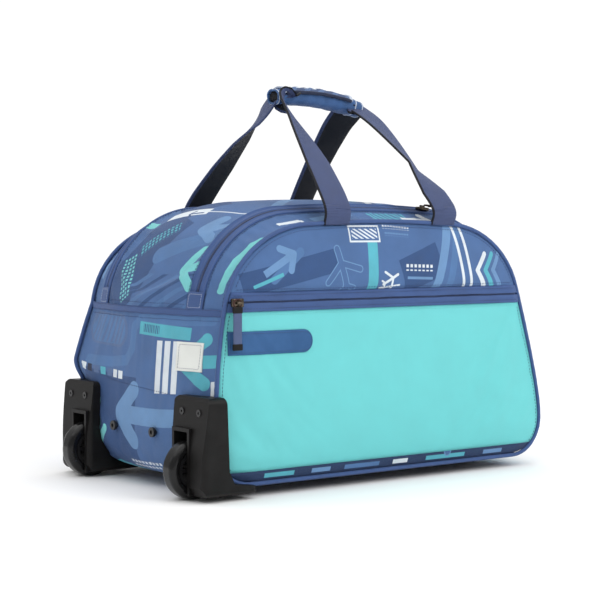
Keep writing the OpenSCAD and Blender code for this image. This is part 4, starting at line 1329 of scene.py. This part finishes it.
def leg_path(side, end):
    """One leg, from its root up into the grip: places, and the way its width lies."""
    foot_x = LEG_X + end * LEG_HALF
    top_x = LEG_X + end * 56 * MM
    top_z = (441 if end < 0 else 435) * MM
    y = lambda v: side * v * MM
    places = [(foot_x, y(138.6), 291 * MM), (foot_x, y(138.4), 313 * MM),
              (foot_x + (top_x - foot_x) * 0.36, y(94), 361 * MM),
              (foot_x + (top_x - foot_x) * 0.74, y(42), 409 * MM),
              (top_x, y(10), top_z - 5 * MM), (top_x - end * 14 * MM, y(4), top_z)]
    path = catmull(places, LEG_STEPS)
    turns = LEG_TURNS[side, end]
    share = np.linspace(0, 1, LEG_STEPS + 1)
    angle = np.radians(np.interp(share, np.linspace(0, 1, len(turns)), turns))
    return path, np.stack([np.cos(angle), np.sin(angle), np.zeros(LEG_STEPS + 1)], 1)


def make_straps():
    """Each strap's two legs, their roots, and the stitches that hold the roots."""
    profile = flat_profile(WEB_W, WEB_T)
    for side, name in ((-1, "front"), (1, "rear")):
        for end, label in ((-1, "left"), (1, "right")):
            path, across = leg_path(side, end)
            low_end = path[:, 2] < HINGE_Z + 0.5 * MM
            root = sweep(f"{name}_{label}_root", path[low_end], across[low_end], profile)
            finish_piece(root, webbing, "bag", f"{name}_strap_roots", slot="webbing")
            keep = path[:, 2] > HINGE_Z - 6 * MM
            leg = sweep(f"{name}_{label}_leg", path[keep], across[keep], profile)
            finish_piece(leg, webbing, None, f"{name}_strap", slot="webbing")
            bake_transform(leg)
            bottom, top = path[low_end][0], path[low_end][-1]
            out = Y * side
            face = out * WEB_T * 0.5
            left, right = -X * 13 * MM + face, X * 13 * MM + face
            drop = Z * 2 * MM
            rows = [(np.linspace(a, b, 8), np.tile(out, (8, 1))) for a, b in (
                (bottom + left, top + left), (bottom + right, top + right),
                (top + left - drop, top + right - drop))]
            run = stitch_mesh(f"{name}_{label}_root_stitches", rows, radius=0.3 * MM)
            finish_piece(run, thread, "bag", slot="webbing")


WRAP_STEPS = 80
WRAP_SIDES = 40


def wrap_path():
    x0, x1 = low("grip_wrap").x, high("grip_wrap").x
    places = [(x0, 0, 440.5 * MM), (x0 + 30 * MM, 0, 442 * MM), (x0 + 64 * MM, 0, 441 * MM),
              (x0 + 98 * MM, 0, 436.5 * MM), (x1 - 1 * MM, 0, 430.5 * MM)]
    return catmull(places, WRAP_STEPS)


def wrap_section(i, angle):
    """Radius of the padded wrap at a station, towards an angle."""
    t = i / WRAP_STEPS
    squash = (abs(math.cos(angle)) ** 2.8 / 12.6**2.8 + abs(math.sin(angle)) ** 2.8 / 9.8**2.8) ** (-1 / 2.8)
    pucker = 0.45 * math.sin(angle * 7 + t * 19) * math.sin(t * 31 + 2) + 0.5 * math.sin(t * 44 + angle * 2)
    ends = 0.9 + 0.1 * min(1, 6 * t, 6 * (1 - t))
    belly = 1 + 0.05 * math.sin(math.pi * t)
    return (squash * ends * belly + pucker * 0.55) * MM


FLAP_STATIONS = (6, 66)
FLAP_ANGLES = (42, 165)
FLAP_STEPS = 22


def make_wrap():
    """The padded wrap round the straps, its core and bindings, and the flap that closes it."""
    path = wrap_path()
    up = unit(np.cross(unit(np.gradient(path, axis=0)), Y))
    up = up * np.sign(up[:, 2:3])
    n = WRAP_SIDES
    angles = [2 * math.pi * k / n for k in range(n)]

    def skin(i, angle, grow=0.0):
        return path[i] + (Y * math.cos(angle) + up[i] * math.sin(angle)) * (wrap_section(i, angle) + grow)

    stations = range(WRAP_STEPS + 1)
    verts = [skin(i, a) for i in stations for a in angles]
    uv = [(path[i][0], a * 10 * MM) for i in stations for a in angles]
    faces = [(i * n + k, i * n + (k + 1) % n, (i + 1) * n + (k + 1) % n, (i + 1) * n + k)
             for i in range(WRAP_STEPS) for k in range(n)]
    sleeve = mesh_piece("wrap_sleeve", verts, faces, uv)
    thicken(sleeve, 2.0 * MM)
    flip_out(sleeve)
    finish_piece(sleeve, wrap_cloth, "carry_handle", "grip_wrap", slot="print_fabric")
    for name, i in (("left", 1), ("right", 79), ("right_inner", 72)):
        ring = [skin(i, a, 0.1 * MM) for a in angles]
        binding = sweep(f"wrap_binding_{name}", ring, np.tile(X, (n, 1)), ring_profile(0.9 * MM, 0.7 * MM, 8),
                        closed=True)
        finish_piece(binding, pale_thread, "carry_handle", slot="webbing")
    inner = path[2:-2]
    core = sweep("wrap_core", inner, np.tile(Y, (len(inner), 1)), flat_profile(20 * MM, 12 * MM, 7))
    finish_piece(core, black_foam, "carry_handle", slot="dark_fabric")

    start, end = FLAP_ANGLES
    co, uv = [], []
    for i in range(FLAP_STATIONS[0], FLAP_STATIONS[1] + 1):
        row, row_uv = [], []
        for k in range(FLAP_STEPS + 1):
            a = math.radians(start + (end - start) * k / FLAP_STEPS)
            lip = max(0, k / FLAP_STEPS - 0.86) * 9
            row.append(skin(i, a, (1.5 + lip) * MM))
            row_uv.append((path[i][0], a * 11 * MM))
        co.append(row)
        uv.append(row_uv)
    co = np.array(co)
    flap = grid_piece("flap_cloth", co, np.array(uv))
    flip_out(flap)
    thicken(flap, 1.1 * MM)
    finish_piece(flap, flap_cloth, "wrap_flap", "wrap_flap", slot="print_fabric")
    edges = (("front", co[:, -1], Z, navy_cloth), ("left", co[0], X, pale_thread),
             ("right", co[-1], X, pale_thread))
    for name, line, across, material in edges:
        edge = sweep(f"flap_edge_{name}", line, np.tile(across, (len(line), 1)),
                     flat_profile(4.2 * MM, 2.6 * MM))
        finish_piece(edge, material, "wrap_flap", slot="webbing")


def flip_out(piece):
    """Turns a piece's faces so that its highest face looks up."""
    work = bmesh.new()
    work.from_mesh(piece.data)
    face = max(work.faces, key=lambda f: f.calc_center_median().z)
    if face.normal.z < 0:
        bmesh.ops.reverse_faces(work, faces=work.faces)
    work.to_mesh(piece.data)
    work.free()


# ---- sliders and pulls ----
def rounded_box(size, radius=1.0 * MM):
    """Points and faces of a block with rounded edges."""
    work = bmesh.new()
    bmesh.ops.create_cube(work, size=1.0)
    for v in work.verts:
        v.co = Vector([v.co[k] * size[k] for k in range(3)])
    bmesh.ops.bevel(work, geom=work.edges[:], offset=radius, segments=3, affect="EDGES", profile=0.5)
    verts = [tuple(v.co) for v in work.verts]
    faces = [tuple(v.index for v in f.verts) for f in work.faces]
    work.free()
    return np.array(verts), faces


def joined(name, parts, material, body, *nodes, slot=None):
    """One piece made of several parts, each (verts, faces, frame)."""
    verts, faces = [], []
    for part, part_faces, (origin, x, y, z) in parts:
        base = len(verts)
        verts += list(np.array(origin) + part[:, :1] * x + part[:, 1:2] * y + part[:, 2:3] * z)
        faces += [tuple(base + i for i in f) for f in part_faces]
    piece = mesh_piece(name, verts, faces, [(v[0], v[2]) for v in verts])
    finish_piece(piece, material, body, *nodes, slot=slot)


def make_pulls():
    """Each zip's slider, and its pull: a cord loop, a tab and the tab's two tips."""
    for name in ("pocket", "front", "rear"):
        hangs = name == "pocket"
        slider, pull = f"{name}_slider", f"{name}_pull"
        place = np.array(middle(slider))
        size = np.array(high(slider)) - np.array(low(slider))
        lo, hi = np.array(low(pull)), np.array(high(pull))
        if hangs:
            tab_along, tab_across, tab_out = -Z, X, -Y
            body = rounded_box((size[0], size[1] * 0.55, size[2]))
            bridge = rounded_box((size[0] * 0.55, size[1] * 0.35, size[2] * 0.3), 0.6 * MM)
            frames = [(place + Y * size[1] * shift, X, Y, Z) for shift in (0.2, -0.3)]
        else:
            tilt = math.atan2(hi[2] - lo[2] - 2 * MM, hi[0] - lo[0])
            tab_along, tab_across = np.array([math.cos(tilt), 0, -math.sin(tilt)]), Y
            tab_out = np.cross(tab_along, tab_across)
            body = rounded_box((size[0] * 0.95, size[1], size[2] * 0.45), 0.9 * MM)
            bridge = rounded_box((size[0] * 0.45, size[1] * 0.3, size[2] * 0.3), 0.5 * MM)
            up = tab_out * np.sign(tab_out[2])
            frames = [(place + Z * size[2] * shift, tab_along, Y, up) for shift in (-0.12, 0.24)]
        joined(slider + "_metal", [(*body, frames[0]), (*bridge, frames[1])], slider_metal, slider,
               slider, slot="zip_metal")
        reach = float(np.linalg.norm((hi - lo) * np.abs(tab_along)))
        width = float((hi - lo) @ np.abs(tab_across)) * (1.35 if hangs else 1.0)
        start = (lo + hi) / 2 - tab_along * reach / 2 - X * (3 * MM if hangs else 0)
        loop = []
        for a in np.linspace(0, 2 * math.pi, 28, endpoint=False):
            loop.append(start + tab_along * (4.6 * MM - 4.4 * MM * math.cos(a))
                        + tab_across * math.sin(a) * width * 0.42)
        ring = sweep(pull + "_loop", loop, np.tile(tab_out, (len(loop), 1)),
                     ring_profile(0.8 * MM, 0.8 * MM, 8), closed=True)
        finish_piece(ring, loop_cord, pull, pull, slot="zip_metal")
        tab_len = reach - 8 * MM
        tab_mid = start + tab_along * (8 * MM + tab_len / 2)
        tab = rounded_box((width * 0.86, tab_len * 0.72, 2.0 * MM), 0.7 * MM)
        tip = rounded_box((width, tab_len * 0.15, 2.8 * MM), 0.9 * MM)
        axes = (tab_across, tab_along, np.cross(tab_across, tab_along))
        joined(pull + "_tab", [(*tab, (tab_mid, *axes))], tab_rubber, pull, slot="slate_fabric")
        tips = [(*tip, (tab_mid + tab_along * s * tab_len * 0.425, *axes)) for s in (-1, 1)]
        joined(pull + "_tips", tips, black_plastic, pull, slot="black_plastic")


webbing = web_paint("webbing", WEB_BLUE, (0.010, 0.011, 0.016, 1), WEB_W + 0.6 * MM)
pale_thread = plain_cloth("pale_thread", (0.52, 0.58, 0.70, 1), pitch=0.5 * MM)
teal_thread = plain_cloth("teal_thread", (0.16, 0.56, 0.55, 1), pitch=0.5 * MM)
wrap_cloth = plain_cloth("wrap_cloth", (0.050, 0.120, 0.290, 1), sheen=0.1, wear=0.25)
black_foam = plain_cloth("black_foam", (0.008, 0.009, 0.012, 1))
label_cloth = plain_cloth("label_cloth", (0.86, 0.88, 0.84, 1), pitch=0.5 * MM, wear=0.04)
badge_rubber = hard("badge_rubber", (0.032, 0.095, 0.230, 1), 0.5, grain=0.05 * MM)
tab_rubber = hard("tab_rubber", (0.070, 0.095, 0.185, 1), 0.6, grain=0.25 * MM, grain_scale=500)
loop_cord = hard("loop_cord", (0.045, 0.018, 0.016, 1), 0.5, grain=0.05 * MM)
slider_metal = hard("slider_metal", (0.060, 0.048, 0.036, 1), 0.25, metallic=0.95, wear=0.5)


def print_flap():
    """Hatching in three directions on the wrap's flap."""
    art = Print("flap_cloth", (0.050, 0.085, 0.190, 1))
    art.stripes(((-46, 18), (126, 34), 0), 60, 10, 0.4, GREY_BLUE)
    art.stripes(((-40, 20), (50, 12), 0), 60, 6, 0.5, PRINT_WHITE)
    art.stripes(((24, 18), (44, 14), 0), 120, 7, 0.45, PRINT_WHITE)
    return art.finish()


flap_cloth = print_flap()
make_panels()
for side, name in ((-1, "front"), (1, "rear")):
    make_piping(side, name + "_piping")
for side, name in ((-1, "front"), (1, "rear")):
    make_zip(side, name + "_main_zip")
make_badge()
make_label()
for side, name in ((-1, "wheel"), (1, "handle")):
    make_binding(side, name + "_end_binding")
make_garages()
make_pocket_zip()
make_seam_stitches()
make_front_wall()
make_floor_pad()
make_straps()
make_wrap()
make_pulls()

# ---- CAD nodes that keep their shape ----
for names, material, width in (
    (("wheel_housing_front", "wheel_housing_rear"), black_plastic, 1.6 * MM),
    (("tow_dock", "tow_grip", "release_button", "tow_bracket", "skid_feet"), black_plastic, 1.0 * MM),
    (("hub_front", "hub_rear"), hub_plastic, 0.5 * MM),
    (("tyre_front", "tyre_rear"), gloss_rubber, 0.0),
    (("bracket_bolts", "housing_screws"), dark_steel, 0.3 * MM),
    (("axle_front", "axle_rear", "release_yoke", "button_spring"), steel, 0.2 * MM),
    (("middle_collars", "inner_tube_plugs"), black_plastic, 0.2 * MM),
    (("outer_tube_front", "outer_tube_rear", "middle_tube_front", "middle_tube_rear",
      "inner_tube_front", "inner_tube_rear"), tube_metal, 0.2 * MM),
    (("base_board",), board_fibre, 0.5 * MM),
):
    for name in names:
        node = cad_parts[name]
        node.data.materials.clear()
        node.data.materials.append(material)
        if width:
            bevel(node, width)
        smooth(node)


# ---- camera, floor and light ----
# The photograph's view, as the fit of the outline, wheels and straps gave it.
AZIMUTH = math.radians(37)
ELEVATION = math.radians(2.48)
DISTANCE = 1.995
AIM = Vector((-0.007, 0, 0.2018))
LENS = 100.66
FLOOR_HALF = 9


def make_camera():
    data = bpy.data.cameras.new("camera")
    data.lens = LENS
    data.sensor_width = 36
    camera = bpy.data.objects.new("camera", data)
    back = Vector((-math.sin(AZIMUTH) * math.cos(ELEVATION), -math.cos(AZIMUTH) * math.cos(ELEVATION),
                   math.sin(ELEVATION)))
    camera.location = AIM + back * DISTANCE
    camera.rotation_mode = "QUATERNION"
    camera.rotation_quaternion = (-back).to_track_quat("-Z", "Y")
    bpy.context.scene.collection.objects.link(camera)
    bpy.context.scene.camera = camera


def area_light(name, place, target, size, power):
    """A rectangular soft light."""
    data = bpy.data.lights.new(name, "AREA")
    data.shape = "RECTANGLE"
    data.size, data.size_y = size
    data.energy = power
    light = bpy.data.objects.new(name, data)
    light.location = place
    light.rotation_mode = "QUATERNION"
    light.rotation_quaternion = (Vector(target) - Vector(place)).to_track_quat("-Z", "Y")
    bpy.context.scene.collection.objects.link(light)


def make_studio():
    """A pale floor, a sky that is lightest behind the bag, an overhead sun and two soft lights."""
    f = FLOOR_HALF
    floor = mesh_piece("floor", [(-f, -f, 0), (f, -f, 0), (f, f, 0), (-f, f, 0)], [(0, 1, 2, 3)])
    paint = Paint("floor_paper", roughness=0.9, specular=0.1)
    cloud = paint.noise(paint.object_place(), 2.0)
    paint.set(Base_Color=paint.mix(cloud, (0.90, 0.90, 0.90, 1), (0.93, 0.93, 0.93, 1)))
    floor.data.materials.append(paint.material)
    world = bpy.data.worlds.new("studio")
    world.use_nodes = True
    tree = world.node_tree
    place = tree.nodes.new("ShaderNodeTexCoord")
    facing = tree.nodes.new("ShaderNodeVectorMath")
    facing.operation = "DOT_PRODUCT"
    facing.inputs[1].default_value = (math.sin(AZIMUTH), math.cos(AZIMUTH), 0)
    glow = tree.nodes.new("ShaderNodeMapRange")
    for socket, value in (("From Min", 0.70), ("From Max", 0.94), ("To Min", 0.50), ("To Max", 1.05)):
        glow.inputs[socket].default_value = value
    tree.links.new(place.outputs["Generated"], facing.inputs[0])
    tree.links.new(facing.outputs["Value"], glow.inputs["Value"])
    tree.links.new(glow.outputs["Result"], tree.nodes["Background"].inputs["Strength"])
    tree.nodes["Background"].inputs["Color"].default_value = (1, 1, 1, 1)
    bpy.context.scene.world = world
    sky = bpy.data.lights.new("overhead", "SUN")
    sky.energy = 2.1
    sky.angle = math.radians(100)
    bpy.context.scene.collection.objects.link(bpy.data.objects.new("overhead", sky))
    area_light("key", (1.0, -2.6, 1.7), (0, 0, 0.2), (1.6, 1.2), 30)
    area_light("edge", (-2.2, 1.4, 1.6), (0, 0, 0.2), (1.0, 1.4), 5)
    bpy.context.scene.view_settings.view_transform = "Standard"


make_camera()
make_studio()
